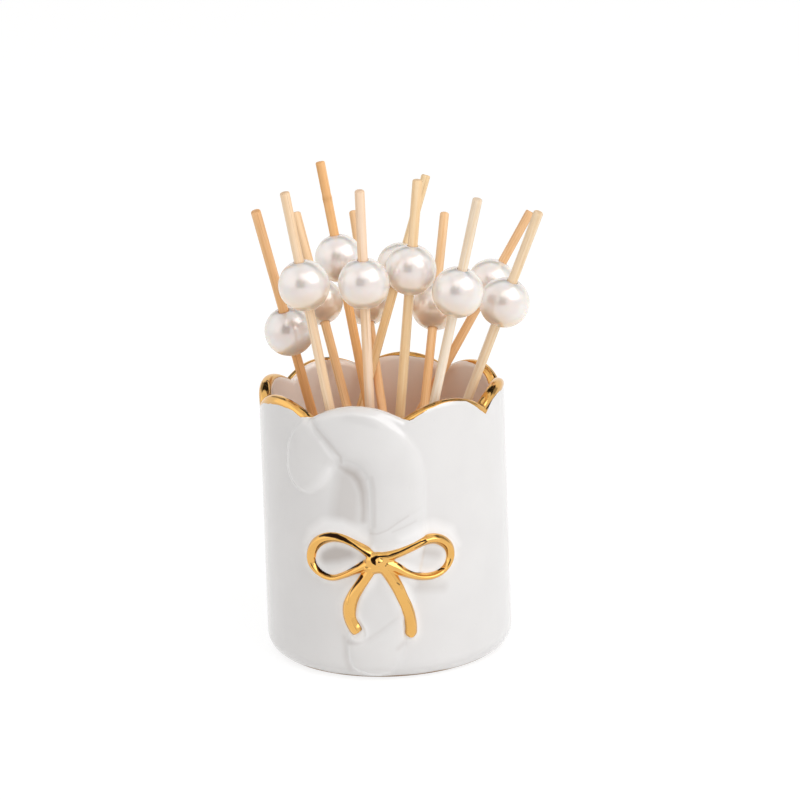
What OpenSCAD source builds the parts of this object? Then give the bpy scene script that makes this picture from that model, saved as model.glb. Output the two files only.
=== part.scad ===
// Toothpick holder: a glazed ceramic cup with a petal rim, a candy cane and a bow
// in relief on its wall, and bamboo picks that each carry a pearl bead.
// The cup's foot is centred on the origin, +Z is up and -Y is the decorated front.

/* [Cup] */
// Outer radius of the wall at the rim
rim_r = 30; // [26:0.1:36]
// How much further out the wall is at the foot than at the rim
foot_spread = 0.6; // [0:0.1:3]
// Thickness of the wall
wall = 3.2; // [2.4:0.1:4]
// Thickness of the floor
floor_h = 4; // [3:0.1:7]
// Height of the rim at the dips between its petals
rim_h = 64; // [58:0.5:80]
// How far each petal rises above the dips
petal_rise = 3.5; // [1:0.1:6]
// Number of petals round the rim
petals = 8; // [6:1:12]
// How far the front petal sits to the left of the front, in degrees
petal_turn = 12.8; // [0:0.1:22]
// Rounding of the foot's outer edge
foot_round = 4.7; // [2:0.1:6]
// Rounding inside, where the wall meets the floor
well_round = 4; // [1:0.1:6]

/* [Gilding] */
// Thickness of the gold lustre on the rim
gilding_t = 0.2; // [0.1:0.05:0.5]
// How far the lustre runs down the wall, square to the rim's edge
gilding_drop = 2; // [1:0.1:3]

/* [Candy cane] */
// Width of the cane
cane_w = 13; // [8:0.1:14]
// How far the cane's middle stands out of the wall
cane_rise = 1.6; // [0.8:0.1:2.4]
// Radius of the hook's middle line
hook_r = 12.1; // [8:0.1:13]
// Distance along the wall from the front to the hook's centre, to the left
hook_side = 9.3; // [4:0.1:14]
// Height of the hook's centre
hook_z = 48.9; // [40:0.1:56]
// Height above which the shaft is upright
bend_z = 36; // [30:0.5:40]
// Lean of the shaft's lower part, in degrees
cane_lean = 13; // [0:0.5:15]
// Height of the cane's lower end
cane_foot_z = 1.2; // [0.6:0.1:12]
// Depth of the stripe grooves
groove_depth = 0.6; // [0.2:0.1:0.8]
// Width of the stripe grooves
groove_w = 2; // [1:0.1:3]

/* [Bow] */
// Width of the bow's cord
cord_w = 2.6; // [1.6:0.1:3]
// How far the cord stands out of what it lies on
cord_rise = 1.5; // [0.8:0.1:2]
// Distance along the wall from the front to the knot, to the left
knot_side = 1.6; // [0:0.1:6]
// Height of the knot
knot_z = 30.4; // [24:0.1:36]
// Width of the knot
knot_w = 6.4; // [4:0.1:8]
// Height of the knot
knot_h = 5.6; // [4:0.1:8]
// Reach of each loop's middle line from the knot
loop_len = 17.2; // [12:0.1:20]
// Height between a loop's upper and lower middle lines
loop_h = 9.4; // [7:0.1:11]
// Drop of the tails below the knot
tail_drop = 16; // [10:0.1:20]

/* [Picks] */
// Length of a pick with its point
pick_len = 116; // [105:1:125]
// Diameter of a pick
pick_d = 2.4; // [1.8:0.1:2.6]
// Length of the point
point_len = 10; // [6:0.5:14]
// Diameter at the very end of the point
point_d = 0.6; // [0.3:0.1:1]
// Diameter of a bead
bead_d = 12; // [8:0.1:12.2]
// Clearance between a bead's bore and its pick, on the radius
bore_gap = 0.03; // [0.01:0.01:0.1]
// Clearance between a pick's point and the floor
floor_gap = 0.2; // [0.2:0.05:0.5]

/* [Hidden] */
$fn = 96;
// Clearance between a relief's back and the face it lies on
seat_gap = 0.03;
// Overrun of cuts
over = 1;
// Number of facets across a relief's front
front_steps = 8;
// Number of stations along a loop, and along a tail
loop_steps = 30;
tail_steps = 14;
// Distance between two stations of the cane
cane_step = 1.3;
// Number of rings of the knot's dome, and of facets round it
dome_rings = 4;
dome_steps = 20;
// Number of stations of the lustre along a petal
petal_steps = 12;
// Gap between two strips of lustre, as a share of a station's step
end_gap = 0.02;

foot_r = rim_r + foot_spread;
well_r = rim_r - wall;
petal_angle = 360 / petals;
petal_half_w = rim_r * sin(petal_angle / 2);
petal_arc_r = (petal_half_w * petal_half_w + petal_rise * petal_rise) / (2 * petal_rise);
peak_h = rim_h + petal_rise;
petal_centre_z = peak_h - petal_arc_r;
half_cane = cane_w / 2;
half_cord = cord_w / 2;
half_loop = loop_h / 2;

// Where each pick stands: its point's x and y on the floor, the x and y at which it
// passes the rim, as shares of the well's radius, and the bead's distance from
// the blunt end, as a share of the pick's length
pick_shares = [
    [-0.22, 0.60, -0.67, -0.11, 0.285],
    [-0.10, -0.57, -0.45, -0.80, 0.195],
    [0.17, -0.57, -0.40, 0.74, 0.215],
    [0.18, 0.43, -0.17, 0.52, 0.210],
    [0.24, -0.60, -0.04, 0.85, 0.220],
    [-0.09, -0.40, -0.11, -0.78, 0.195],
    [-0.83, 0.28, -0.10, 0.75, 0.205],
    [-0.07, -0.52, 0.16, -0.68, 0.185],
    [0.07, -0.78, 0.44, 0.67, 0.225],
    [-0.06, -0.38, 0.44, -0.78, 0.200],
    [-0.76, 0.44, 0.57, 0.69, 0.175],
    [-0.04, 0.23, 0.78, -0.31, 0.210]
];
picks = len(pick_shares);

// The tails' control points, as shares of the tails' drop, from each tail's start
left_tail_shares = [[0, 0], [-0.36, -0.22], [-0.50, -0.52], [-0.28, -1]];
right_tail_shares = [[0, 0], [0.18, -0.22], [0.44, -0.58], [0.35, -1]];

// Names of the nodes of one pick
function stick_name(i) = str("pick_", i + 1, "_stick");
function bead_name(i) = str("pick_", i + 1, "_bead");

// Outer radius of the cup at a height, with the foot's rounding
function wall_r(z) =
    foot_r + (rim_r - foot_r) * z / rim_h
    - (z < foot_round ? foot_round - sqrt(foot_round * foot_round - pow(foot_round - z, 2)) : 0);

// Height of the rim above a place on the wall, given as an arc length from the front
function rim_z(arc) =
    let (turn = arc / rim_r * 180 / PI + petal_turn + petal_angle / 2,
         off = turn - petal_angle * floor(turn / petal_angle) - petal_angle / 2)
    petal_centre_z + sqrt(petal_arc_r * petal_arc_r - pow(rim_r * sin(off), 2));

// A point on the wall: arc length from the front, height, and distance out of the wall
function on_wall(arc, z, out) =
    let (low = min(z, rim_z(arc) - seat_gap), turn = arc / rim_r * 180 / PI,
         r = wall_r(low) + out)
    [r * sin(turn), -r * cos(turn), low];

// Direction square to a path at one of its points, in the unrolled wall
function path_normal(path, i) =
    let (n = len(path), a = path[max(i - 1, 0)], b = path[min(i + 1, n - 1)], d = b - a)
    [-d[1], d[0]] / norm(d);

// A point at share t of a cubic curve through four control points
function cubic(p, t) =
    pow(1 - t, 3) * p[0] + 3 * t * pow(1 - t, 2) * p[1]
    + 3 * t * t * (1 - t) * p[2] + t * t * t * p[3];

// Middle line of the shaft at a height
function shaft_arc(z) = hook_r - hook_side - max(0, bend_z - z) * tan(cane_lean);

// Height of the cane's front over the wall, widened so that a cord can lie across it
function over_cane(arc, z) =
    let (off = abs(arc - shaft_arc(z)) / (half_cane + cord_w))
    cane_rise * sqrt(max(0, 1 - off * off));

// Share of the full rise left by the stripe grooves, which slant across the cane
function groove_share(along, across) =
    1 - groove_depth / cane_rise
    * max([for (g = groove_places)
        let (d = (along - g[0] - across * g[1]) / (groove_w / 2)) exp(-d * d)]);

// The cane's middle line from its foot, up the shaft and round the hook
lower_len = (bend_z - cane_foot_z) / cos(cane_lean);
shaft_len = lower_len + hook_z - bend_z;
hook_sweep = 166;
hook_len = hook_r * hook_sweep * PI / 180;
tip_len = half_cane * 0.98;
cane_len = shaft_len + hook_len + tip_len;
function cane_point(s) =
    s < lower_len
    ? [shaft_arc(bend_z) - (lower_len - s) * sin(cane_lean),
       bend_z - (lower_len - s) * cos(cane_lean)]
    : s < shaft_len
    ? [shaft_arc(bend_z), bend_z + s - lower_len]
    : let (turn = min((s - shaft_len) / hook_r * 180 / PI, hook_sweep),
           rest = max(0, s - shaft_len - hook_len))
      [-hook_side + hook_r * cos(turn) - rest * sin(turn),
       hook_z + hook_r * sin(turn) + rest * cos(turn)];
// Stripe grooves: place along the middle line, and slant as a length across half the cane
groove_places = [
    [shaft_len * 0.25, -half_cane * 0.8],
    [shaft_len * 0.82, -half_cane * 0.49],
    [shaft_len + hook_len * 0.67, -half_cane * 0.36]
];

// A relief on the wall: a half-round section carried along a path in the unrolled wall.
// path holds [arc, height], half_w the half widths, rises the rises and bases the
// distances of the back from the wall, one for each point of the path
module relief(path, half_w, rises, bases, grooved = false) {
    n = len(path);
    ring = 2 * front_steps;
    step = [for (i = [0 : n - 1]) i == 0 ? 0 : norm(path[i] - path[i - 1])];
    along = [for (i = 0, s = 0; i < n; i = i + 1, s = s + (i < n ? step[i] : 0)) s];
    points = [
        for (i = [0 : n - 1])
            let (side = path_normal(path, i))
            for (j = [0 : ring - 1])
                let (front = j <= front_steps,
                     across = front ? cos(180 * j / front_steps)
                         : -1 + 2 * (j - front_steps) / front_steps,
                     share = grooved ? groove_share(along[i], across) : 1,
                     out = bases[i]
                         + (front ? rises[i] * share * sin(180 * j / front_steps) : 0),
                     place = path[i] + side * half_w[i] * across)
                on_wall(place[0], place[1], out)
    ];
    sides = [
        for (i = [0 : n - 2])
            for (j = [0 : ring - 1])
                let (k = (j + 1) % ring,
                     a = i * ring + j, b = i * ring + k,
                     c = (i + 1) * ring + k, d = (i + 1) * ring + j)
                each [[a, b, c], [a, c, d]]
    ];
    caps = [
        for (j = [1 : ring - 2]) each [
            [0, j + 1, j],
            [(n - 1) * ring, (n - 1) * ring + j, (n - 1) * ring + j + 1]
        ]
    ];
    polyhedron(points, concat(sides, caps));
}

// The space above the petals' arcs, which shapes the rim
module above_petals() {
    reach = wall + 2 * petal_rise;
    difference() {
        translate([0, 0, rim_h - petal_rise])
            cylinder(r = foot_r + over, h = 2 * petal_rise + over);
        for (k = [0 : petals - 1])
            rotate([0, 0, k * petal_angle - petal_turn])
                translate([0, petal_rise - well_r, petal_centre_z])
                    rotate([90, 0, 0])
                        cylinder(r = petal_arc_r, h = reach);
    }
}

// The turned profile of the cup's outside, up to just above the petals
module outer_form() {
    top = peak_h + over / 2;
    rotate_extrude()
        polygon(concat(
            [[0, 0]],
            [for (a = [0 : 7.5 : 90])
                let (z = foot_round * (1 - cos(a))) [wall_r(z), z]],
            [[wall_r(top), top], [0, top]]
        ));
}

// The hollow of the cup
module well() {
    translate([0, 0, floor_h])
        rotate_extrude()
            union() {
                translate([0, well_round])
                    square([well_r, peak_h + over - floor_h - well_round]);
                square([well_r - well_round, well_round + over]);
                translate([well_r - well_round, well_round])
                    circle(r = well_round);
            }
}

// The cup with its petal rim
module cup() {
    color("white")
        difference() {
            outer_form();
            above_petals();
            well();
        }
}

// Height of the rim's top at a radius, at an angle from a petal's middle
function top_z(r, off) =
    petal_centre_z + sqrt(petal_arc_r * petal_arc_r - pow(r * sin(off), 2));

// A strip of lustre along the rim, from one station to another, as a tube of eight-sided
// sections. It wraps over the whole edge, or stays on the inner side of its top
module lustre_strip(first, last, wraps) {
    reach = wraps ? rim_r : well_r + wall * 0.4;
    near = 2 * seat_gap;
    far = near + gilding_t;
    stations = concat([first + end_gap], [for (i = [first + 1 : last - 1]) i], [last - end_gap]);
    n = len(stations);
    ring = 8;
    points = [
        for (i = stations)
            let (turn = (i / petal_steps - 0.5) * petal_angle,
                 off = turn - petal_angle * round(turn / petal_angle),
                 edge = top_z(reach, off),
                 inner = top_z(well_r, off),
                 low = edge - gilding_drop,
                 side = wall_r(low),
                 outside = wraps
                     ? [[side + near, low], [side + far, low]]
                     : [[reach + far, top_z(reach + far, off) + near],
                        [reach + far, top_z(reach + far, off) + far]],
                 section = concat(outside, [
                     [reach + (wraps ? far : 0), edge + far], [well_r - far, inner + far],
                     [well_r - far, inner - gilding_drop / 2],
                     [well_r - near, inner - gilding_drop / 2],
                     [well_r - near, inner + near],
                     [reach + (wraps ? near : 0), edge + near]
                 ]))
            for (p = section)
                let (a = turn - petal_turn) [p[0] * sin(a), -p[0] * cos(a), p[1]]
    ];
    sides = [
        for (i = [0 : n - 2])
            for (j = [0 : ring - 1])
                let (k = (j + 1) % ring, a = i * ring + j, b = i * ring + k, c = b + ring, d = a + ring)
                each [[a, c, b], [a, d, c]]
    ];
    // Each end is closed over the wrapped section's three arms
    cap = [[0, 1, 7], [1, 2, 7], [2, 3, 7], [3, 6, 7], [3, 4, 5], [3, 5, 6]];
    caps = [
        for (c = cap) each [c, [for (j = [2 : -1 : 0]) (n - 1) * ring + c[j]]]
    ];
    polyhedron(points, concat(sides, caps));
}

// The gold lustre on the rim. The cane hides all but its inner side on the front petal
module rim_gilding() {
    color("goldenrod") {
        lustre_strip(petal_steps, petals * petal_steps - 1, true);
        lustre_strip(-1, petal_steps, false);
    }
}

// The candy cane: a shaft whose lower part leans, and a hook that follows the front petal
module candy_cane() {
    n = ceil(cane_len / cane_step);
    s = [for (i = [0 : n]) cane_len * i / n];
    // Both ends are round
    half_w = [for (x = s)
        let (d = max(0, half_cane - min(x * 3, cane_len - x)) / half_cane)
        half_cane * sqrt(max(0.02, 1 - d * d))];
    color("whitesmoke")
        relief([for (x = s) cane_point(x)], half_w,
               [for (w = half_w) cane_rise * w / half_cane],
               [for (x = s) seat_gap], grooved = true);
}

// One loop of the bow, to the left or to the right (side -1 or 1)
module bow_loop(side) {
    // The part of the drop-shaped curve that is clear of the knot
    start = 52;
    stop = 308;
    // A drop shape of this exponent has its widest place at this share of its height
    widest = 0.77;
    start_arc = -knot_side + side * knot_w * 0.15;
    t = [for (i = [0 : loop_steps]) start + (stop - start) * i / loop_steps];
    path = [for (a = t)
        [start_arc + side * loop_len * (1 - cos(a)) / 2,
         knot_z + half_loop / widest * sin(a) * sin(a / 2)]];
    // The cord is widest at the loop's outer end
    half_w = [for (a = t) half_cord * (1 - 0.15 * cos(a) * cos(a) * (cos(a) > 0 ? 1 : -1))];
    relief(path, half_w, [for (a = t) cord_rise],
           [for (p = path) seat_gap + over_cane(p[0], p[1])]);
}

module bow_left_loop() {
    color("gold") bow_loop(-1);
}

module bow_right_loop() {
    color("gold") bow_loop(1);
}

// One tail of the bow, from its control points and the place where it starts
module bow_tail(shares, start) {
    t = [for (i = [0 : tail_steps]) i / tail_steps];
    path = [for (x = t) start + tail_drop * cubic(shares, x)];
    relief(path,
           [for (x = t) half_cord * (x > 0.95 ? 0.75 : 0.85 + 0.2 * x)],
           [for (x = t) cord_rise * (x > 0.95 ? 0.75 : 1)],
           [for (p = path) seat_gap + over_cane(p[0], p[1])]);
}

module bow_left_tail() {
    color("gold")
        bow_tail(left_tail_shares, [-knot_side - knot_w * 0.2, knot_z - knot_h / 2 - 2 * seat_gap]);
}

module bow_right_tail() {
    color("gold")
        bow_tail(right_tail_shares, [-knot_side + knot_w * 0.27, knot_z - knot_h / 2 - seat_gap]);
}

// The knot: a low dome that lies on the cane
module bow_knot() {
    base = 2 * seat_gap + cane_rise;
    points = concat(
        [on_wall(-knot_side, knot_z, base)],
        [for (k = [0 : dome_rings - 1])
            let (up = 90 * k / dome_rings)
            for (j = [0 : dome_steps - 1])
                let (turn = 360 * j / dome_steps)
                on_wall(-knot_side + knot_w / 2 * cos(up) * cos(turn),
                        knot_z + knot_h / 2 * cos(up) * sin(turn),
                        base + cord_rise * 1.15 * sin(up))],
        [on_wall(-knot_side, knot_z, base + cord_rise * 1.15)]
    );
    last = len(points) - 1;
    faces = concat(
        [for (j = [0 : dome_steps - 1]) [0, 1 + j, 1 + (j + 1) % dome_steps]],
        [for (k = [0 : dome_rings - 2])
            for (j = [0 : dome_steps - 1])
                let (a = 1 + k * dome_steps + j, b = 1 + k * dome_steps + (j + 1) % dome_steps)
                each [[a, b + dome_steps, b], [a, a + dome_steps, b + dome_steps]]],
        [for (j = [0 : dome_steps - 1])
            let (a = 1 + (dome_rings - 1) * dome_steps)
            [a + j, last, a + (j + 1) % dome_steps]]
    );
    color("gold") polyhedron(points, faces);
}

// Places its children at the point of pick i, with +Z along the pick
module at_pick(i) {
    p = pick_shares[i];
    tip = [p[0] * well_r, p[1] * well_r, floor_h + floor_gap];
    d = [p[2] * well_r, p[3] * well_r, rim_h] - tip;
    translate(tip)
        rotate([0, acos(d[2] / norm(d)), atan2(d[1], d[0])])
            children();
}

// A bamboo pick: a round stick with a blunt upper end and a pointed lower end
module pick_stick(i) {
    color("burlywood")
        at_pick(i) {
            cylinder(d1 = point_d, d2 = pick_d, h = point_len);
            translate([0, 0, point_len])
                cylinder(d = pick_d, h = pick_len - point_len);
        }
}

// The pearl bead, bored through for its pick
module pick_bead(i) {
    color("ivory")
        at_pick(i)
            translate([0, 0, pick_len * (1 - pick_shares[i][4])])
                difference() {
                    sphere(d = bead_d);
                    cylinder(d = pick_d + 2 * bore_gap, h = bead_d + over, center = true);
                }
}

cup();
rim_gilding();
candy_cane();
bow_knot();
bow_left_loop();
bow_right_loop();
bow_left_tail();
bow_right_tail();
for (i = [0 : picks - 1]) {
    pick_stick(i);
    pick_bead(i);
}
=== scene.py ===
"""Looks of a scalloped white pick cup: candy cane relief, lustre rim and bow, and twelve beaded picks."""

import logging
import math
from dataclasses import dataclass, field
from enum import Enum

import bpy
import numpy as np
from mathutils import Euler, Matrix, Vector


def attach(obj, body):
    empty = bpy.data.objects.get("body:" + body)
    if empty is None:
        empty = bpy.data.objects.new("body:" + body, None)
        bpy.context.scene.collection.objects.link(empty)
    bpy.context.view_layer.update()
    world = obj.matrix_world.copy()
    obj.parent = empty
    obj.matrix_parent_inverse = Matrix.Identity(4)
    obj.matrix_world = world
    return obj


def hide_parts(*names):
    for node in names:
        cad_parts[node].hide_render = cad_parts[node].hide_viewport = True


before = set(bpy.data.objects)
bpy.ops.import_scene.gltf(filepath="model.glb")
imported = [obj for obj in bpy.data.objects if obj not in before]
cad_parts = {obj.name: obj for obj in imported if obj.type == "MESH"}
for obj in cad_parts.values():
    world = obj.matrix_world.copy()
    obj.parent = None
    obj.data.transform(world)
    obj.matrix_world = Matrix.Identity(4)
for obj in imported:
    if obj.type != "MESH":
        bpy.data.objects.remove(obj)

LOG = logging.getLogger("pick_cup")
MM = 0.001
Colour = tuple[float, float, float]


class Tone(Enum):
    """The two slots that a bamboo stick can take its finish from."""

    PALE = "bamboo_pale"
    TAN = "bamboo_tan"


def make_piece(name: str, points: np.ndarray, faces: list) -> bpy.types.Object:
    """Makes a smoothly shaded mesh object from points in millimetres.

    Args:
        name: Name of the piece.
        points: N x 3 array of places in millimetres.
        faces: Point numbers of each face.

    Returns:
        The new object, linked to the scene.
    """
    mesh = bpy.data.meshes.new(name)
    mesh.from_pydata((np.asarray(points) * MM).tolist(), [], faces)
    mesh.polygons.foreach_set("use_smooth", [True] * len(mesh.polygons))
    mesh.update()
    piece = bpy.data.objects.new(name, mesh)
    bpy.context.scene.collection.objects.link(piece)
    return piece


def add_values(piece: bpy.types.Object, name: str, values: np.ndarray) -> None:
    """Stores one number for each point of a piece, for its material to read."""
    layer = piece.data.attributes.new(name, "FLOAT", "POINT")
    layer.data.foreach_set("value", np.asarray(values, dtype=np.float32))


def add_colours(piece: bpy.types.Object, name: str, colours: np.ndarray) -> None:
    """Stores one colour for each point of a piece, for its material to read."""
    layer = piece.data.color_attributes.new(name, "FLOAT_COLOR", "POINT")
    full = np.concatenate([colours, np.ones((len(colours), 1))], axis=1)
    layer.data.foreach_set("color", full.astype(np.float32).ravel())


def grid_faces(rows: int, columns: int) -> list:
    """Faces between the points of a grid whose rows go all the way round.

    Args:
        rows: Number of rows of points.
        columns: Number of points in a row.

    Returns:
        Four point numbers for each face.
    """
    i, j = np.meshgrid(np.arange(rows - 1), np.arange(columns), indexing="ij")
    k = (j + 1) % columns
    corners = [i * columns + j, i * columns + k, (i + 1) * columns + k, (i + 1) * columns + j]
    return np.stack(corners, axis=-1).reshape(-1, 4).tolist()


def smooth_noise(seed: int, size: int) -> np.ndarray:
    """Repeatable random numbers from -1 to 1."""
    return np.random.default_rng(seed).uniform(-1, 1, size)


def line_gap(places: np.ndarray, line: tuple) -> np.ndarray:
    """Distance from each place to the edge of a line with a changing half width.

    Args:
        places: N x 2 places on an unrolled surface, in millimetres.
        line: The line's points as place, place and half width.

    Returns:
        N distances, below zero on the line.
    """
    best = np.full(len(places), 1e9)
    for a, b in zip(np.array(line[:-1]), np.array(line[1:])):
        way = b[:2] - a[:2]
        share = np.clip((places - a[:2]) @ way / (way @ way), 0, 1)
        off = np.linalg.norm(places - a[:2] - share[:, None] * way, axis=1)
        best = np.minimum(best, off - a[2] - share * (b[2] - a[2]))
    return best


def stroke_mask(places: np.ndarray, strokes: tuple, soft: float) -> np.ndarray:
    """How much each place is covered by brush strokes.

    Args:
        places: N x 2 places on an unrolled surface, in millimetres.
        strokes: For each stroke its points as place, place and half width.
        soft: Width of the strokes' soft edge.

    Returns:
        N numbers from 0 to 1.
    """
    mask = np.zeros(len(places))
    for stroke in strokes:
        mask = np.maximum(mask, np.clip(0.5 - line_gap(places, stroke) / soft, 0, 1))
    return mask


@dataclass(frozen=True)
class WallForm:
    """Sizes of the cup in millimetres, with azimuths in degrees from the front, + to the right."""

    rim_r: float = 30.0
    foot_r: float = 30.6
    wall: float = 3.2
    floor_h: float = 4.0
    rim_h: float = 64.0
    petal_rise: float = 3.5
    petals: int = 8
    petal_turn: float = 12.8
    notch_soft: float = 0.16
    notch_sink: float = 0.05
    foot_round: float = 4.7
    well_round: float = 4.0
    lip: float = 1.9

    @property
    def well_r(self) -> float:
        """Radius of the well."""
        return self.rim_r - self.wall

    def radius(self, z: np.ndarray) -> np.ndarray:
        """Outer radius of the plain wall at height z."""
        low = np.clip(self.foot_round - z, 0, self.foot_round)
        tuck = self.foot_round - np.sqrt(self.foot_round**2 - low**2)
        return self.foot_r + (self.rim_r - self.foot_r) * z / self.rim_h - tuck

    def crest(self, azimuth: np.ndarray) -> np.ndarray:
        """Height of the rim's crest, with the notches between the petals softened by the glaze.

        Args:
            azimuth: Azimuths in degrees.

        Returns:
            Heights in millimetres.
        """
        pitch = 360 / self.petals
        half_w = self.rim_r * math.sin(math.radians(pitch / 2))
        arc_r = (half_w**2 + self.petal_rise**2) / (2 * self.petal_rise)
        centre = self.rim_h + self.petal_rise - arc_r
        off = np.radians((azimuth + self.petal_turn + pitch / 2) % pitch - pitch / 2)
        own = np.sqrt(np.maximum(arc_r**2 - (self.rim_r * np.sin(off)) ** 2, 0))
        beside = np.radians(pitch) - np.abs(off)
        other = np.sqrt(np.maximum(arc_r**2 - (self.rim_r * np.sin(beside)) ** 2, 0))
        apart = np.sqrt(((own - other) / 2) ** 2 + self.notch_soft**2)
        return centre + (own + other) / 2 + apart - self.notch_sink

    def place(self, azimuth: np.ndarray, r: np.ndarray, z: np.ndarray) -> np.ndarray:
        """Points in space at an azimuth, a radius and a height."""
        turn = np.radians(azimuth)
        return np.stack([r * np.sin(turn), -r * np.cos(turn), z], axis=-1)


@dataclass(frozen=True)
class BowPlan:
    """The bow's brush lines on the unrolled wall: arc, height and half width along each, in millimetres."""

    ribbons: tuple = (
        ((-2.6, 31.2, 1.5), (-4.4, 32.6, 1.25), (-5.9, 33.6, 1.05), (-8.0, 34.7, 1.0),
         (-10.4, 35.6, 1.1), (-13.0, 35.8, 1.25), (-15.7, 35.0, 1.35), (-17.9, 33.3, 1.4),
         (-19.0, 31.0, 1.35), (-18.9, 28.9, 1.2), (-17.6, 27.2, 1.0), (-15.7, 26.1, 0.9),
         (-13.4, 25.7, 0.8), (-10.8, 26.5, 0.8), (-8.3, 27.7, 0.95), (-5.9, 29.0, 1.25),
         (-3.2, 30.3, 1.5)),
        ((-1.2, 31.6, 1.4), (1.2, 32.2, 1.25), (3.6, 33.0, 1.15), (6.0, 33.9, 1.15), (8.4, 34.75, 1.2),
         (10.8, 34.9, 1.25), (13.3, 33.9, 1.3), (15.0, 32.0, 1.25), (15.3, 30.0, 1.15),
         (14.6, 28.1, 1.0), (13.0, 26.6, 0.9), (10.6, 25.8, 0.9), (8.1, 25.9, 0.9), (5.7, 26.7, 1.05),
         (3.7, 27.7, 1.25), (1.8, 29.0, 1.5), (-0.4, 30.2, 1.6)),
        ((-5.2, 29.1, 0.8), (-3.9, 28.8, 1.4), (-2.0, 29.3, 1.75), (0.1, 28.9, 1.5), (1.4, 28.9, 0.9)))
    tails: tuple = (
        ((-2.8, 30.0, 1.5), (-3.7, 28.6, 1.5), (-5.0, 26.6, 1.5), (-6.6, 24.2, 1.5), (-8.3, 21.6, 1.55),
         (-9.3, 18.95, 1.7), (-9.3, 16.6, 1.7), (-8.5, 14.5, 1.75), (-7.7, 13.2, 1.7),
         (-7.35, 12.7, 1.45)),
        ((-1.2, 30.0, 1.5), (-0.4, 28.8, 1.6), (0.7, 26.8, 1.55), (2.0, 24.1, 1.5), (2.95, 21.5, 1.45),
         (3.9, 18.9, 1.45), (4.6, 16.2, 1.4), (4.85, 13.6, 1.4), (4.75, 12.1, 1.3), (4.7, 11.5, 0.9)))
    knot: tuple = (-1.75, 30.75, 2.9, 2.1)

    def clearance(self, places: np.ndarray) -> np.ndarray:
        """Distance from each place on the unrolled wall to the bow's edge, below zero on the bow."""
        arc, z, half_w, half_h = self.knot
        off = (places - (arc, z)) / (half_w, half_h)
        best = (np.linalg.norm(off, axis=1) - 1) * half_h
        for line in self.ribbons + self.tails:
            best = np.minimum(best, line_gap(places, line))
        return best


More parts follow.
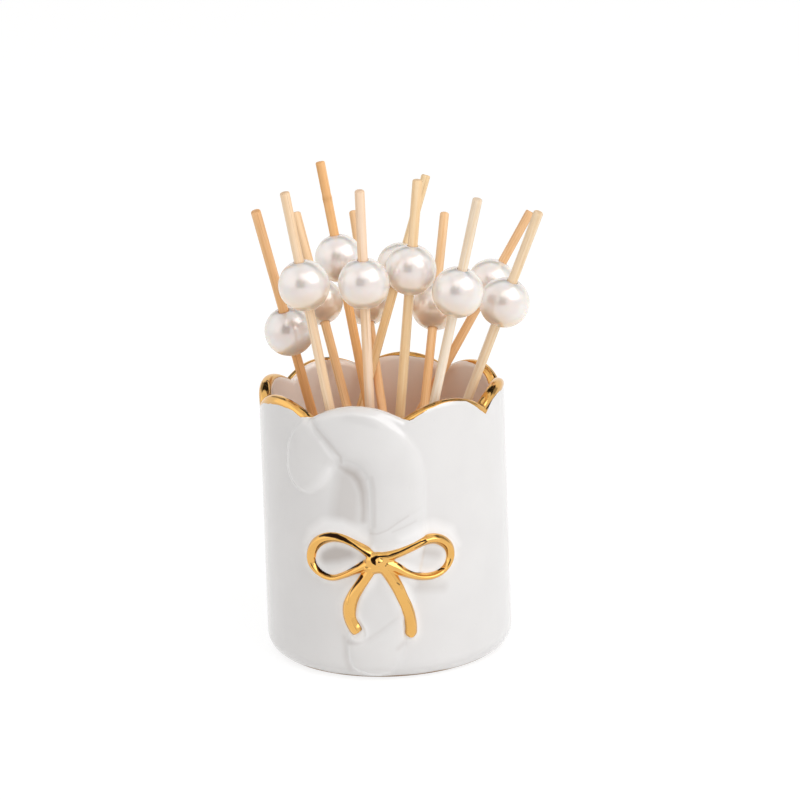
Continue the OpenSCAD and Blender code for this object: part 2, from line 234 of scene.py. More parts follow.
@dataclass
class CaneRelief:
    """Height of the candy cane over the wall and nearness to the bow, on grids over the unrolled wall.

    Places are arc and height in millimetres. Each groove has a depth, and a line with its half widths.
    """

    wall: WallForm
    plan: BowPlan
    half_w: float = 6.55
    rise: float = 1.52
    foot: tuple = ((-3.75, 7.9), (2.8, 35.0), (2.8, 37.5))
    hook_r: float = 12.1
    hook_at: tuple = (-9.3, 48.9)
    hook_sweep: float = 122.0
    hook_steps: int = 44
    bulb: tuple = ((-17.9, 57.0), (-19.0, 55.0), (-19.3, 52.4))
    arc_span: tuple = (-40, 24)
    z_span: tuple = (-4, 72)
    cell: float = 0.2
    back_power: int = 3
    edge_power: float = 0.55
    groove_edge: float = 1.0
    glaze_spread: float = 0.36
    halo_reach: float = 1.15
    far: float = 9.0
    grooves: tuple = (
        (0.5, ((-10.4, 9.8, 0.8), (-7.9, 10.1, 0.75), (-6.2, 10.8, 0.6), (-4.5, 11.8, 0.5),
               (-2.6, 13.1, 0.45), (0.0, 15.2, 0.5), (3.5, 17.8, 0.6))),
        (0.4, ((-4.4, 37.1, 0.4), (-2.0, 37.3, 0.4), (0.2, 38.2, 0.4), (2.4, 39.8, 0.5),
               (9.5, 43.0, 0.6))),
        (0.3, ((0.6, 37.4, 0.35), (3.8, 38.7, 0.35), (9.0, 41.0, 0.4))),
        (0.75, ((-18.6, 65.6, 0.7), (-15.4, 61.8, 0.8), (-12.7, 59.0, 0.75), (-10.1, 55.7, 0.7),
                (-10.3, 53.6, 0.6))))
    relief_map: np.ndarray = field(init=False)
    halo_map: np.ndarray = field(init=False)

    def __post_init__(self) -> None:
        """Works out the grids once."""
        self.arcs = np.arange(*self.arc_span, self.cell)
        self.heights = np.arange(*self.z_span, self.cell)
        arc, z = np.meshgrid(self.arcs, self.heights)
        places = np.stack([arc.ravel(), z.ravel()], 1)
        off = 1 + line_gap(places, self._middle_line()) / self.half_w
        dome = np.clip(1 - np.clip(off, 0, 1) ** self.back_power, 0, 1) ** self.edge_power
        for depth, line in self.grooves:
            across = np.clip(line_gap(places, line) + self.groove_edge, 0, self.far)
            dome *= 1 - depth / self.rise * np.exp(-(across**2))
        self.relief_map = self._soften(self.rise * dome.reshape(arc.shape), self.glaze_spread)
        near = np.clip(self.plan.clearance(places), 0, self.far) / self.halo_reach
        self.halo_map = np.exp(-(near**2)).reshape(arc.shape)

    def _middle_line(self) -> np.ndarray:
        """Points of the cane's middle line with its half width, from its foot to the end of its hook."""
        turn = np.radians(np.linspace(0, self.hook_sweep, self.hook_steps))
        arc, z = self.hook_at
        hook = np.stack([self.hook_r * np.cos(turn) + arc, self.hook_r * np.sin(turn) + z], 1)
        line = np.concatenate([self.foot, hook, self.bulb])
        return np.concatenate([line, np.full((len(line), 1), self.half_w)], 1)

    def _soften(self, values: np.ndarray, spread: float) -> np.ndarray:
        """Blurs the grid, as glaze softens an edge."""
        reach = int(3 * spread / self.cell) + 1
        share = np.exp(-0.5 * (np.arange(-reach, reach + 1) * self.cell / spread) ** 2)
        share /= share.sum()
        for axis in (0, 1):
            values = np.apply_along_axis(lambda line: np.convolve(line, share, "same"), axis, values)
        return values

    def _read(self, grid: np.ndarray, azimuth: np.ndarray, z: np.ndarray) -> np.ndarray:
        """Reads a grid between its points, with zero outside it.

        Args:
            grid: One of the grids.
            azimuth: Azimuths in degrees.
            z: Heights in millimetres.

        Returns:
            The grid's values there.
        """
        turn = (np.asarray(azimuth, dtype=float) + 180) % 360 - 180
        column = (np.radians(turn) * self.wall.rim_r - self.arcs[0]) / self.cell
        row = (np.asarray(z, dtype=float) - self.heights[0]) / self.cell
        last_column, last_row = len(self.arcs) - 1.01, len(self.heights) - 1.01
        inside = (column > 0) & (column < last_column) & (row > 0) & (row < last_row)
        column = np.clip(column, 0, last_column)
        row = np.clip(row, 0, last_row)
        c, r = column.astype(int), row.astype(int)
        u, v = column - c, row - r
        low = grid[r, c] * (1 - u) + grid[r, c + 1] * u
        high = grid[r + 1, c] * (1 - u) + grid[r + 1, c + 1] * u
        return np.where(inside, low * (1 - v) + high * v, 0)

    def height(self, azimuth: np.ndarray, z: np.ndarray) -> np.ndarray:
        """How far the cane stands out of the wall at azimuths in degrees and heights in millimetres."""
        return self._read(self.relief_map, azimuth, z)

    def halo(self, azimuth: np.ndarray, z: np.ndarray) -> np.ndarray:
        """How close each place is to the bow: 1 on it, and 0 further than about 3 mm from its edge."""
        return self._read(self.halo_map, azimuth, z)


class Nodes:
    """Short ways to place and join nodes in one tree."""

    def __init__(self, tree: bpy.types.NodeTree) -> None:
        """Keeps the tree."""
        self.tree = tree

    def add(self, kind: str, **settings: object) -> bpy.types.Node:
        """Adds a node.

        Args:
            kind: Blender's name for the node's type.
            **settings: Values of the node's own properties.

        Returns:
            The node.
        """
        node = self.tree.nodes.new(kind)
        for key, value in settings.items():
            setattr(node, key, value)
        return node

    def feed(self, node: bpy.types.Node, **inputs: object) -> bpy.types.Node:
        """Sets or links a node's inputs, whose names are written with _ for a blank.

        Args:
            node: The node to feed.
            **inputs: A socket to link from, or a plain value.

        Returns:
            The same node.
        """
        for key, value in inputs.items():
            numbered = key[0] == "n" and key[1:].isdigit()
            socket = node.inputs[int(key[1:]) if numbered else key.replace("_", " ")]
            if isinstance(value, bpy.types.NodeSocket):
                self.tree.links.new(value, socket)
            else:
                socket.default_value = value
        return node

    def math(self, operation: str, a: object, b: object = 0.0) -> bpy.types.NodeSocket:
        """A sum, product or other operation on two numbers."""
        return self.feed(self.add("ShaderNodeMath", operation=operation), n0=a, n1=b).outputs[0]

    def blend(self, share: object, a: object, b: object, way: str = "MIX") -> bpy.types.NodeSocket:
        """A mix of two colours.

        Args:
            share: How much of b there is.
            a: First colour.
            b: Second colour.
            way: Blend type.

        Returns:
            The mixed colour's socket.
        """
        node = self.add("ShaderNodeMix", data_type="RGBA", blend_type=way)
        self.feed(node, n0=share, n6=a, n7=b)
        return node.outputs[2]

    def span(self, value: object, low: float, high: float,
             out_low: float, out_high: float) -> bpy.types.NodeSocket:
        """Maps a range of numbers smoothly onto another.

        Args:
            value: The number.
            low: Start of its range.
            high: End of its range.
            out_low: What the start becomes.
            out_high: What the end becomes.

        Returns:
            The new number's socket.
        """
        node = self.add("ShaderNodeMapRange", interpolation_type="SMOOTHSTEP")
        self.feed(node, n0=value, n1=low, n2=high, n3=out_low, n4=out_high)
        return node.outputs[0]

    def noise(self, vector: object, scale: float,
              detail: float = 3.0, rough: float = 0.5) -> bpy.types.NodeSocket:
        """Soft noise from 0 to 1 at a vector."""
        node = self.add("ShaderNodeTexNoise")
        return self.feed(node, Vector=vector, Scale=scale, Detail=detail, Roughness=rough).outputs[0]


class EffectGroups:
    """Node groups for the effects that several materials share, each built once."""

    def __init__(self) -> None:
        """Builds the groups."""
        self.mottle = self._mottle()
        self.skin = self._skin()
        self.grain = self._grain()

    @staticmethod
    def _new(name: str, inputs: dict,
             outputs: dict) -> tuple[bpy.types.NodeTree, Nodes, bpy.types.Node, bpy.types.Node]:
        """Makes an empty group.

        Args:
            name: Name of the group.
            inputs: Name and default of each input; None makes a vector.
            outputs: Name and socket type of each output.

        Returns:
            The tree, its nodes' helper, and its input and output nodes.
        """
        tree = bpy.data.node_groups.new(name, "ShaderNodeTree")
        for key, start in inputs.items():
            kind = "NodeSocketVector" if start is None else "NodeSocketFloat"
            socket = tree.interface.new_socket(key, in_out="INPUT", socket_type=kind)
            if start is not None:
                socket.default_value = start
        for key, kind in outputs.items():
            tree.interface.new_socket(key, in_out="OUTPUT", socket_type=kind)
        nodes = Nodes(tree)
        return tree, nodes, nodes.add("NodeGroupInput"), nodes.add("NodeGroupOutput")

    def _mottle(self) -> bpy.types.NodeTree:
        """Soft cloudy unevenness, as in a glaze, a lustre or a nacre coat."""
        tree, n, entry, leave = self._new(
            "Cloudy mottle", {"Vector": None, "Size": 1.0, "Amount": 1.0},
            {"Cloud": "NodeSocketFloat", "Veil": "NodeSocketFloat"})
        sized = n.add("ShaderNodeVectorMath", operation="SCALE")
        n.feed(sized, n0=entry.outputs["Vector"])
        n.tree.links.new(entry.outputs["Size"], sized.inputs["Scale"])
        broad = n.span(n.noise(sized.outputs[0], 130.0), 0.3, 0.7, 0.0, 1.0)
        fine = n.span(n.noise(sized.outputs[0], 620.0, 4.0), 0.35, 0.7, 0.0, 1.0)
        n.feed(leave, Cloud=n.math("MULTIPLY", broad, entry.outputs["Amount"]),
               Veil=n.math("MULTIPLY", fine, entry.outputs["Amount"]))
        return tree

    def _skin(self) -> bpy.types.NodeTree:
        """Height of a poured or fired skin: gentle waves, and a few pinholes."""
        tree, n, entry, leave = self._new(
            "Fired skin", {"Vector": None, "Wave": 1.0, "Pinholes": 1.0},
            {"Height": "NodeSocketFloat", "Pits": "NodeSocketFloat"})
        wave = n.noise(entry.outputs["Vector"], 95.0, 1.0)
        ripple = n.noise(entry.outputs["Vector"], 520.0, 1.0)
        spots = n.feed(n.add("ShaderNodeTexVoronoi"), Vector=entry.outputs["Vector"], Scale=210.0)
        holes = n.span(spots.outputs["Distance"], 0.03, 0.09, 1.0, 0.0)
        pits = n.math("MULTIPLY", holes, entry.outputs["Pinholes"])
        rippled = n.math("ADD", wave, n.math("MULTIPLY", ripple, 0.12))
        skin = n.math("MULTIPLY", rippled, entry.outputs["Wave"])
        n.feed(leave, Height=n.math("SUBTRACT", skin, n.math("MULTIPLY", pits, 0.5)), Pits=pits)
        return tree

    def _grain(self) -> bpy.types.NodeTree:
        """Long bamboo fibres that run along Z, with darker pore lines."""
        tree, n, entry, leave = self._new(
            "Bamboo fibre", {"Vector": None, "Lot": 0.0, "Pores": 1.0},
            {"Tone": "NodeSocketFloat", "Pore": "NodeSocketFloat", "Height": "NodeSocketFloat"})
        shift = n.feed(n.add("ShaderNodeCombineXYZ"), X=entry.outputs["Lot"], Y=entry.outputs["Lot"],
                       Z=n.math("MULTIPLY", entry.outputs["Lot"], 3.0))
        moved = n.add("ShaderNodeVectorMath", operation="ADD")
        n.feed(moved, n0=entry.outputs["Vector"], n1=shift.outputs[0])
        drawn = n.feed(n.add("ShaderNodeMapping"), Vector=moved.outputs[0], Scale=(1.0, 1.0, 0.028))
        streak = n.noise(drawn.outputs[0], 1500.0, 4.0, 0.6)
        broad = n.noise(drawn.outputs[0], 620.0, 2.0)
        lines = n.feed(n.add("ShaderNodeMapping"), Vector=moved.outputs[0], Scale=(1.0, 1.0, 0.012))
        pores = n.noise(lines.outputs[0], 3400.0, 2.0, 0.7)
        pore = n.math("MULTIPLY", n.span(pores, 0.57, 0.7, 0.0, 1.0), entry.outputs["Pores"])
        tone = n.math("ADD", n.math("MULTIPLY", streak, 0.55), n.math("MULTIPLY", broad, 0.45))
        n.feed(leave, Tone=n.span(tone, 0.3, 0.7, 0.0, 1.0), Pore=pore,
               Height=n.math("SUBTRACT", streak, n.math("MULTIPLY", pore, 0.6)))
        return tree


class Finish:
    """What the finishes share: an empty material with a Principled shader."""

    @staticmethod
    def start(name: str) -> tuple[bpy.types.Material, Nodes, bpy.types.Node, bpy.types.NodeSocket]:
        """Makes a material.

        Args:
            name: Name of the material.

        Returns:
            The material, its nodes' helper, its Principled shader and the piece's own coordinates.
        """
        material = bpy.data.materials.new(name)
        material.use_nodes = True
        nodes = Nodes(material.node_tree)
        shader = material.node_tree.nodes["Principled BSDF"]
        return material, nodes, shader, nodes.add("ShaderNodeTexCoord").outputs["Object"]

    @staticmethod
    def place(nodes: Nodes, group: bpy.types.NodeTree, **inputs: object) -> bpy.types.Node:
        """Places a shared group in a material with its own values."""
        node = nodes.add("ShaderNodeGroup", node_tree=group)
        return nodes.feed(node, **inputs)

    @staticmethod
    def bump(nodes: Nodes, height: bpy.types.NodeSocket,
             strength: float, depth: float) -> bpy.types.NodeSocket:
        """A bumped normal from a height that is worth depth metres."""
        node = nodes.add("ShaderNodeBump")
        return nodes.feed(node, Height=height, Strength=strength, Distance=depth).outputs[0]

    @staticmethod
    def value(nodes: Nodes, name: str, part: str = "Fac") -> bpy.types.NodeSocket:
        """Reads what a piece stores for each point."""
        return nodes.add("ShaderNodeAttribute", attribute_name=name).outputs[part]


@dataclass(frozen=True)
class GlazeFinish(Finish):
    """Glossy white glaze over a bare beige foot, with painted warm shade and bounce light deeper inside the
    well, painted shade in the cane's recesses and grooves, and painted highlights round the bow and along
    the cane.
    """

    white: Colour = (0.83, 0.822, 0.817)
    shade: Colour = (0.79, 0.782, 0.779)
    # Painted shade and warm bounce light inside the well, from the tint near the rim to the deep one.
    well: Colour = (0.92, 0.65, 0.48)
    well_shade_top: Colour = (0.95, 0.88, 0.83)
    clay: Colour = (0.38, 0.25, 0.15)
    # Painted shade: the colour that the glaze takes in recesses, grooves and under the bow's loops.
    painted_shade: Colour = (0.54, 0.50, 0.475)
    # Painted highlight: the colour of the glaze round the bow and along the cane's lit edges.
    bright: Colour = (0.96, 0.955, 0.955)
    gloss: float = 0.16

    def build(self, effects: EffectGroups) -> bpy.types.Material:
        """Makes the material.

        Args:
            effects: The shared groups.

        Returns:
            The material.
        """
        material, n, shader, spot = self.start("White glaze")
        cloud = self.place(n, effects.mottle, Vector=spot, Size=0.5, Amount=0.8)
        skin = self.place(n, effects.skin, Vector=spot, Wave=1.0, Pinholes=0.5)
        inner, bare = self.value(n, "inner"), self.value(n, "bare")
        white = n.blend(cloud.outputs["Cloud"], (*self.white, 1), (*self.shade, 1))
        # Painted shade down the well, following the depth mask.
        well = n.blend(self.value(n, "depth"), (*self.well_shade_top, 1), (*self.well, 1))
        # Painted shade: the glaze darkened where the shade strokes lie.
        with_painted_shade = n.blend(self.value(n, "painted_shade"), white, (*self.painted_shade, 1))
        # Painted highlight: the glaze lightened round the bow and along the highlight strokes.
        glazed = n.blend(inner, n.blend(self.value(n, "bright"), with_painted_shade, (*self.bright, 1)), well)
        clay = n.blend(cloud.outputs["Veil"], (*self.clay, 1), tuple(c * 0.8 for c in self.clay) + (1,))
        n.feed(shader, Base_Color=n.blend(bare, glazed, clay),
               Roughness=n.span(bare, 0.0, 1.0, self.gloss, 0.75),
               Coat_Weight=n.span(bare, 0.0, 1.0, 0.6, 0.0),
               Coat_Roughness=0.05,
               Normal=self.bump(n, skin.outputs["Height"], 0.12, 0.0006))
        return material


@dataclass(frozen=True)
class LustreFinish(Finish):
    """Bright gold lustre fired over the glaze, thin and brown at its edges, with painted black reflections
    along its creases and streaks.
    """

    gold: Colour = (0.79, 0.455, 0.14)
    deep: Colour = (0.70, 0.36, 0.08)
    thin: Colour = (0.30, 0.17, 0.06)
    dark_reflection_colour: Colour = (0.022, 0.009, 0.004)
    gloss: float = 0.09
    deep_share: float = 0.35
    dull_gain: float = 1.9

    def build(self, effects: EffectGroups) -> bpy.types.Material:
        """Makes the material.

        Args:
            effects: The shared groups.

        Returns:
            The material.
        """
        material, n, shader, spot = self.start("Gold lustre")
        cloud = self.place(n, effects.mottle, Vector=spot, Size=1.6, Amount=0.8)
        skin = self.place(n, effects.skin, Vector=spot, Wave=1.0, Pinholes=0.3)
        deep = n.math("MULTIPLY", cloud.outputs["Cloud"], self.deep_share)
        gold = n.blend(deep, (*self.gold, 1), (*self.deep, 1))
        thinned = n.blend(self.value(n, "thin"), gold, (*self.thin, 1))
        # Painted dark reflections: the lustre turns black along the marked streaks and creases.
        n.feed(shader, Base_Color=n.blend(self.value(n, "dark_reflection"), thinned, (*self.dark_reflection_colour, 1)), Metallic=1.0,
               Roughness=n.span(cloud.outputs["Veil"], 0.0, 1.0, self.gloss, self.gloss * self.dull_gain),
               Normal=self.bump(n, skin.outputs["Height"], 0.2, 0.0004))
        return material


@dataclass(frozen=True)
class BambooFinish(Finish):
    """Turned bamboo: fibre streaks over the stick's own stain, open pores at its cut end."""

    tone: Tone
    dark: float = 0.87
    light: float = 1.06
    pores: float = 0.45
    dark_hue: Colour = (1.0, 0.86, 0.68)
    light_hue: Colour = (1.0, 1.0, 1.03)
    pore: Colour = (0.5, 0.36, 0.24)
    scar: Colour = (0.5, 0.34, 0.21)

    def build(self, effects: EffectGroups) -> bpy.types.Material:
        """Makes the material.

        Args:
            effects: The shared groups.

        Returns:
            The material.
        """
        material, n, shader, spot = self.start(self.tone.value)
        grain = self.place(n, effects.grain, Vector=spot, Lot=self.value(n, "lot"), Pores=self.pores)
        stain = self.value(n, "stain", "Color")
        dark = n.blend(1.0, stain, (*(self.dark * c for c in self.dark_hue), 1), "MULTIPLY")
        light = n.blend(1.0, stain, (*(self.light * c for c in self.light_hue), 1), "MULTIPLY")
        body = n.blend(grain.outputs["Tone"], dark, light)
        pored = n.blend(grain.outputs["Pore"], body, n.blend(1.0, stain, (*self.pore, 1), "MULTIPLY"))
        scar = n.blend(self.value(n, "scar"), pored, n.blend(1.0, stain, (*self.scar, 1), "MULTIPLY"))
        n.feed(shader, Base_Color=scar, Roughness=n.span(grain.outputs["Tone"], 0.0, 1.0, 0.62, 0.46),
               Specular_IOR_Level=0.35, Normal=self.bump(n, grain.outputs["Height"], 0.5, 0.00012))
        return material


@dataclass(frozen=True)
class PearlFinish(Finish):
    """Nacre coat over a plastic bead: a soft metallic gleam under clear gloss."""

    body: Colour = (0.84, 0.768, 0.742)
    ring: Colour = (0.884, 0.84, 0.823)
    edge: Colour = (0.996, 0.896, 0.83)
    blush: Colour = (1.0, 0.985, 0.96)
    # Painted warm reflection for the bead's underside.
    warm_reflection: Colour = (1.0, 0.885, 0.75)
    hole: Colour = (0.62, 0.5, 0.4)
    gleam: float = 0.33

    def build(self, effects: EffectGroups) -> bpy.types.Material:
        """Makes the material.

        Args:
            effects: The shared groups.

        Returns:
            The material.
        """
        material, n, shader, spot = self.start("Pearl nacre")
        cloud = self.place(n, effects.mottle, Vector=spot, Size=0.8, Amount=1.0)
        # Tint by facing: darker where the bead faces the eye, lighter and warmer towards its rim; partly
        # the nacre's own shift with angle, partly painted shade in the middle and painted sheen at the rim.
        facing = n.feed(n.add("ShaderNodeLayerWeight"), Blend=0.5).outputs["Facing"]
        tint = n.blend(n.span(facing, 0.1, 0.35, 0.0, 1.0), (*self.body, 1), (*self.ring, 1))
        tint = n.blend(n.span(facing, 0.35, 0.65, 0.0, 1.0), tint, (*self.edge, 1))
        tint = n.blend(cloud.outputs["Cloud"], tint, (*self.blush, 1), "MULTIPLY")
        # Painted warm reflection on the bead's lower half.
        tint = n.blend(self.value(n, "warm_reflection"), tint, (*self.warm_reflection, 1), "MULTIPLY")
        bore = n.blend(self.value(n, "bore"), tint, (*self.hole, 1))
        skin = self.place(n, effects.skin, Vector=spot, Wave=0.5, Pinholes=0.0)
        n.feed(shader, Base_Color=bore, Metallic=self.gleam,
               Roughness=n.span(cloud.outputs["Cloud"], 0.0, 1.0, 0.23, 0.26),
               Coat_Weight=0.35, Coat_Roughness=0.12, Coat_IOR=1.45,
               Subsurface_Weight=0.7, Subsurface_Radius=(1.0, 0.7, 0.5), Subsurface_Scale=0.006,
               Sheen_Weight=0.2, Sheen_Roughness=0.4,
               Normal=self.bump(n, skin.outputs["Height"], 0.01, 0.0002))
        return material


@dataclass
class CupBody:
    """The cup: wall with the cane relief, rolled rim, well, floor and foot."""

    wall: WallForm
    cane: CaneRelief
    # Painted shade as soft edge, strength and line: the glaze darkened in the cane's recess and grooves,
    # along the shaft's shaded edge, and inside and under the bow's loops.
    painted_shade_strokes: tuple = (
        (3.0, 0.45, ((-9.3, 50.0, 2.2), (-9.0, 46.5, 3.2), (-9.6, 42.0, 3.4))),
        (2.0, 1.0, ((-10.4, 53.0, 0.2), (-8.9, 52.2, 0.9), (-7.2, 51.4, 1.1), (-6.0, 49.8, 1.0),
                    (-5.3, 47.2, 0.8), (-5.2, 43.3, 0.5), (-5.4, 40.4, 0.4))),
        (0.8, 0.45, ((-10.2, 53.5, 0.1), (-8.5, 53.1, 0.2), (-6.7, 52.3, 0.25), (-5.3, 50.8, 0.25),
                     (-4.7, 47.7, 0.2), (-4.7, 43.3, 0.2), (-4.9, 40.2, 0.1))),
        (0.9, 0.35, ((-2.9, 51.0, 0.2), (-2.5, 48.0, 0.25), (-2.5, 44.0, 0.25), (-2.7, 39.0, 0.2))),
        (1.4, 0.35, ((-11.0, 11.0, 0.3), (-10.9, 6.0, 0.5), (-10.0, 2.8, 0.4))),
        (0.7, 0.5, ((-17.2, 63.8, 0.1), (-15.4, 61.8, 0.25), (-12.7, 59.0, 0.3), (-10.1, 55.7, 0.3),
                    (-10.2, 54.1, 0.2))),
        (0.5, 0.5, ((-3.8, 37.1, 0.12), (-2.0, 37.3, 0.12), (0.2, 38.2, 0.1), (2.4, 39.8, 0.1),
                    (5.0, 41.4, 0.05))),
        (0.5, 0.35, ((1.3, 37.7, 0.1), (3.8, 38.7, 0.1), (6.8, 40.0, 0.05))),
        (0.9, 0.45, ((-10.2, 9.9, 0.5), (-7.9, 10.1, 0.45), (-6.2, 10.8, 0.3), (-4.5, 11.8, 0.1))),
        (0.9, 0.3, ((-4.5, 11.8, 0.1), (-2.6, 13.1, 0.1), (0.0, 15.2, 0.1), (2.1, 16.6, 0.05))),
        (1.3, 0.35, ((1.7, 8.8, 0.3), (3.2, 10.2, 0.4))),
        (2.0, 0.95, ((-15.3, 30.9, 1.7), (-12.4, 31.9, 2.2), (-9.2, 32.2, 1.4))),
        (1.8, 0.5, ((8.6, 31.7, 0.9), (12.4, 30.9, 1.2))),
        (2.2, 0.35, ((6.6, 23.4, 1.0), (13.1, 22.5, 1.0))))
    # Painted highlights as soft edge, strength and line: light bands along the cane's bulb, foot and shaft
    # edge, and above the bow's loops.
    painted_highlight_strokes: tuple = (
        (1.0, 0.6, ((-23.1, 46.9, 0.2), (-21.1, 46.4, 0.4), (-18.3, 46.4, 0.4), (-15.7, 47.7, 0.4),
                    (-14.0, 49.8, 0.4), (-13.1, 52.0, 0.4), (-11.6, 54.6, 0.3), (-14.5, 59.2, 0.3))),
        (2.2, 0.6, ((-19.5, 46.8, 0.2), (-17.0, 47.6, 0.8), (-15.0, 49.2, 1.0), (-13.8, 51.2, 0.8),
                    (-12.3, 53.6, 0.5))),
        (2.2, 0.95, ((-20.8, 33.4, 0.4), (-18.6, 36.2, 1.2), (-14.7, 37.9, 2.2), (-10.7, 37.9, 2.3),
                     (-7.7, 36.8, 2.0), (-5.0, 35.4, 1.4))),
        (2.2, 0.95, ((3.5, 35.8, 0.9), (7.0, 37.0, 1.5), (11.0, 37.6, 1.7), (15.3, 35.9, 1.2),
                     (17.8, 32.0, 0.3))),
        (0.6, 0.8, ((-9.7, 8.9, 0.2), (-9.7, 5.2, 0.2), (-9.0, 3.4, 0.25), (-7.2, 2.2, 0.25),
                    (-3.0, 1.8, 0.25), (-0.4, 2.5, 0.2))),
        (0.5, 0.6, ((-3.9, 50.0, 0.15), (-3.7, 46.0, 0.2), (-3.7, 38.5, 0.15))))
    # Painted highlight and a glaze fillet round the bow, and the cane pressed down under the bow's tails.
    halo_highlight_share: float = 0.9
    fillet: float = 0.2
    pressed: float = 0.45
    pressed_power: int = 12
    pressed_below: float = 17.0
    pressed_fade: float = 2.0
    # Columns, closer together over the front's azimuths, and rows.
    front: tuple = (-60, 42)
    fine_step: float = 0.42
    coarse_step: float = 1.0
    foot_rows: int = 22
    outer_rows: int = 190
    lip_rows: int = 22
    inner_rows: int = 46
    corner_rows: int = 10
    # Underside, foot and floor.
    pole_r: float = 0.01
    foot_ring_w: float = 2.6
    foot_edge: float = 0.2
    foot_lift: float = 0.5
    sole_shares: tuple = (0.0, 0.4, 0.8, 0.97)
    foot_ring: tuple = ((0.0, 0.4), (0.3, 0.1), (0.8, 0.0))
    floor_shares: tuple = (0.8, 0.5, 0.2, 0.0)
    floor_skin: float = 0.02
    # How the relief starts over the foot and ends over the lip.
    relief_start: float = 0.25
    relief_fade: float = 2.2
    lip_power: float = 0.85
    lip_crown: float = 0.9
    lip_relief_gap: float = 0.4
    lip_relief_power: float = 1.5
    # Masks: painted warm shade down the well, lifted by painted light on its lit side, and the bare foot.
    well_start: float = 0.25
    well_fade: float = 0.8
    lit_side_at: float = -100.0
    lit_side_most: float = 0.95
    lit_side_start: float = 1.7
    lit_side_fade: float = 45.0
    well_shade_above: float = 2.0
    well_shade_fade: float = 26.0
    well_shade_power: float = 0.65
    dip_h: float = 1.15
    dip_soft: float = 0.25
    dip_limit: float = 2.0
    dip_waves: tuple = ((0.12, 7, 0), (0.1, 17, 1))

    def azimuths(self) -> np.ndarray:
        """Azimuths of the columns, closer together across the relief."""
        left, right = self.front
        fronts = np.arange(left, right, self.fine_step)
        last = left + 360 - self.coarse_step
        count = int((left + 360 - right) / self.coarse_step)
        backs = np.linspace(fronts[-1] + self.fine_step, last, count)
        return np.concatenate([fronts, backs])

    def swell(self, azimuth: np.ndarray, z: np.ndarray) -> np.ndarray:
        """How far the wall stands out: the cane, pressed under the tails, and glaze at the bow's edge."""
        halo = self.cane.halo(azimuth, z)
        low = np.clip((self.pressed_below - z) / self.pressed_fade, 0, 1)
        pressed = 1 - self.pressed * halo**self.pressed_power * low
        return self.cane.height(azimuth, z) * pressed + self.fillet * halo**2

    @property
    def lip_row(self) -> int:
        """Number of the profile's first row on the lip."""
        sole = len(self.sole_shares) + len(self.foot_ring) + 1
        return sole + self.foot_rows + self.outer_rows - 1

    def profile(self, azimuth: np.ndarray) -> tuple[np.ndarray, np.ndarray, np.ndarray]:
        """Outline of the cup at each azimuth, from the middle of the underside to the middle of the floor.

        Args:
            azimuth: Azimuths in degrees.

        Returns:
            Radii and heights as rows x columns arrays, and each row's share, 0 outside and 1 inside.
        """
        w = self.wall
        crest = w.crest(azimuth)
        radii, heights, inner = [], [], []

        def row(r: object, z: object, inside: float) -> None:
            """Adds one row of points."""
            radii.append(np.broadcast_to(r, azimuth.shape).astype(float))
            heights.append(np.broadcast_to(z, azimuth.shape).astype(float))
            inner.append(inside)

        sole_r = w.foot_r - w.foot_round
        for share in self.sole_shares:
            row(max(share * (sole_r - self.foot_ring_w), self.pole_r), self.foot_lift, 0)
        for out, z in self.foot_ring:
            row(sole_r - self.foot_ring_w + out, z, 0)
        row(sole_r - self.foot_edge, 0.0, 0)
        for turn in np.radians(np.linspace(6, 90, self.foot_rows)):
            z = w.foot_round * (1 - math.cos(turn))
            swell = self.swell(azimuth, np.full(azimuth.shape, z))
            row(w.radius(np.array([z]))[0] + swell * min(1, self.relief_start + z / self.relief_fade), z, 0)
        for share in np.linspace(0, 1, self.outer_rows)[1:]:
            z = w.foot_round + share * (crest - w.lip - w.foot_round)
            row(w.radius(z) + self.swell(azimuth, z), z, 0)
        low = crest - w.lip
        out_r = w.radius(low)
        half = (out_r - w.well_r) / 2
        for turn in np.radians(np.linspace(0, 180, self.lip_rows + 2)[1:-1]):
            across = np.sign(math.cos(turn)) * abs(math.cos(turn)) ** self.lip_power
            z = low + w.lip * math.sin(turn) ** self.lip_crown
            swell = self.cane.height(azimuth, np.minimum(z, crest - self.lip_relief_gap))
            swell = swell * max(0.0, (across + 1) / 2) ** self.lip_relief_power
            inside = min(1.0, max(0.0, (self.well_start - across) / self.well_fade))
            row(w.well_r + half * (1 + across) + swell, z, inside)
        for share in np.linspace(0, 1, self.inner_rows):
            row(w.well_r, low + share * (w.floor_h + w.well_round - low), 1)
        for turn in np.radians(np.linspace(0, 90, self.corner_rows)[1:]):
            corner_r = w.well_r - w.well_round * (1 - math.cos(turn))
            row(corner_r, w.floor_h + w.well_round * (1 - math.sin(turn)), 1)
        for share in self.floor_shares:
            row(max(share * (w.well_r - w.well_round), self.pole_r), w.floor_h + self.floor_skin, 1)
        return np.array(radii), np.array(heights), np.array(inner)

    def _well_shade(self, turn: np.ndarray, heights: np.ndarray) -> np.ndarray:
        """Share of the well's painted shade at each point: 0 at the rim and on the lit side, and 1 far
        down.
        """
        off = np.abs(turn - self.lit_side_at) / self.lit_side_fade
        pale = self.lit_side_most * np.clip(self.lit_side_start - off, 0, 1)
        below = np.clip((self.wall.rim_h + self.well_shade_above - heights) / self.well_shade_fade, 0, 1)
        return below**self.well_shade_power * (1 - pale)

    def _bare(self, azimuth: np.ndarray, radii: np.ndarray, heights: np.ndarray) -> np.ndarray:
        """Where the foot is bare clay, up to the wavy line that the cup was dipped to."""
        turn = np.radians(azimuth)
        wobble = sum(size * np.sin(turn * count + start) for size, count, start in self.dip_waves)
        bare = np.clip((self.dip_h + wobble[None, :] - heights) / self.dip_soft, 0, 1)
        ring_r = self.wall.foot_r - self.wall.foot_round - self.foot_ring_w
        return bare * (radii > ring_r - self.foot_edge) * (heights < self.dip_limit)

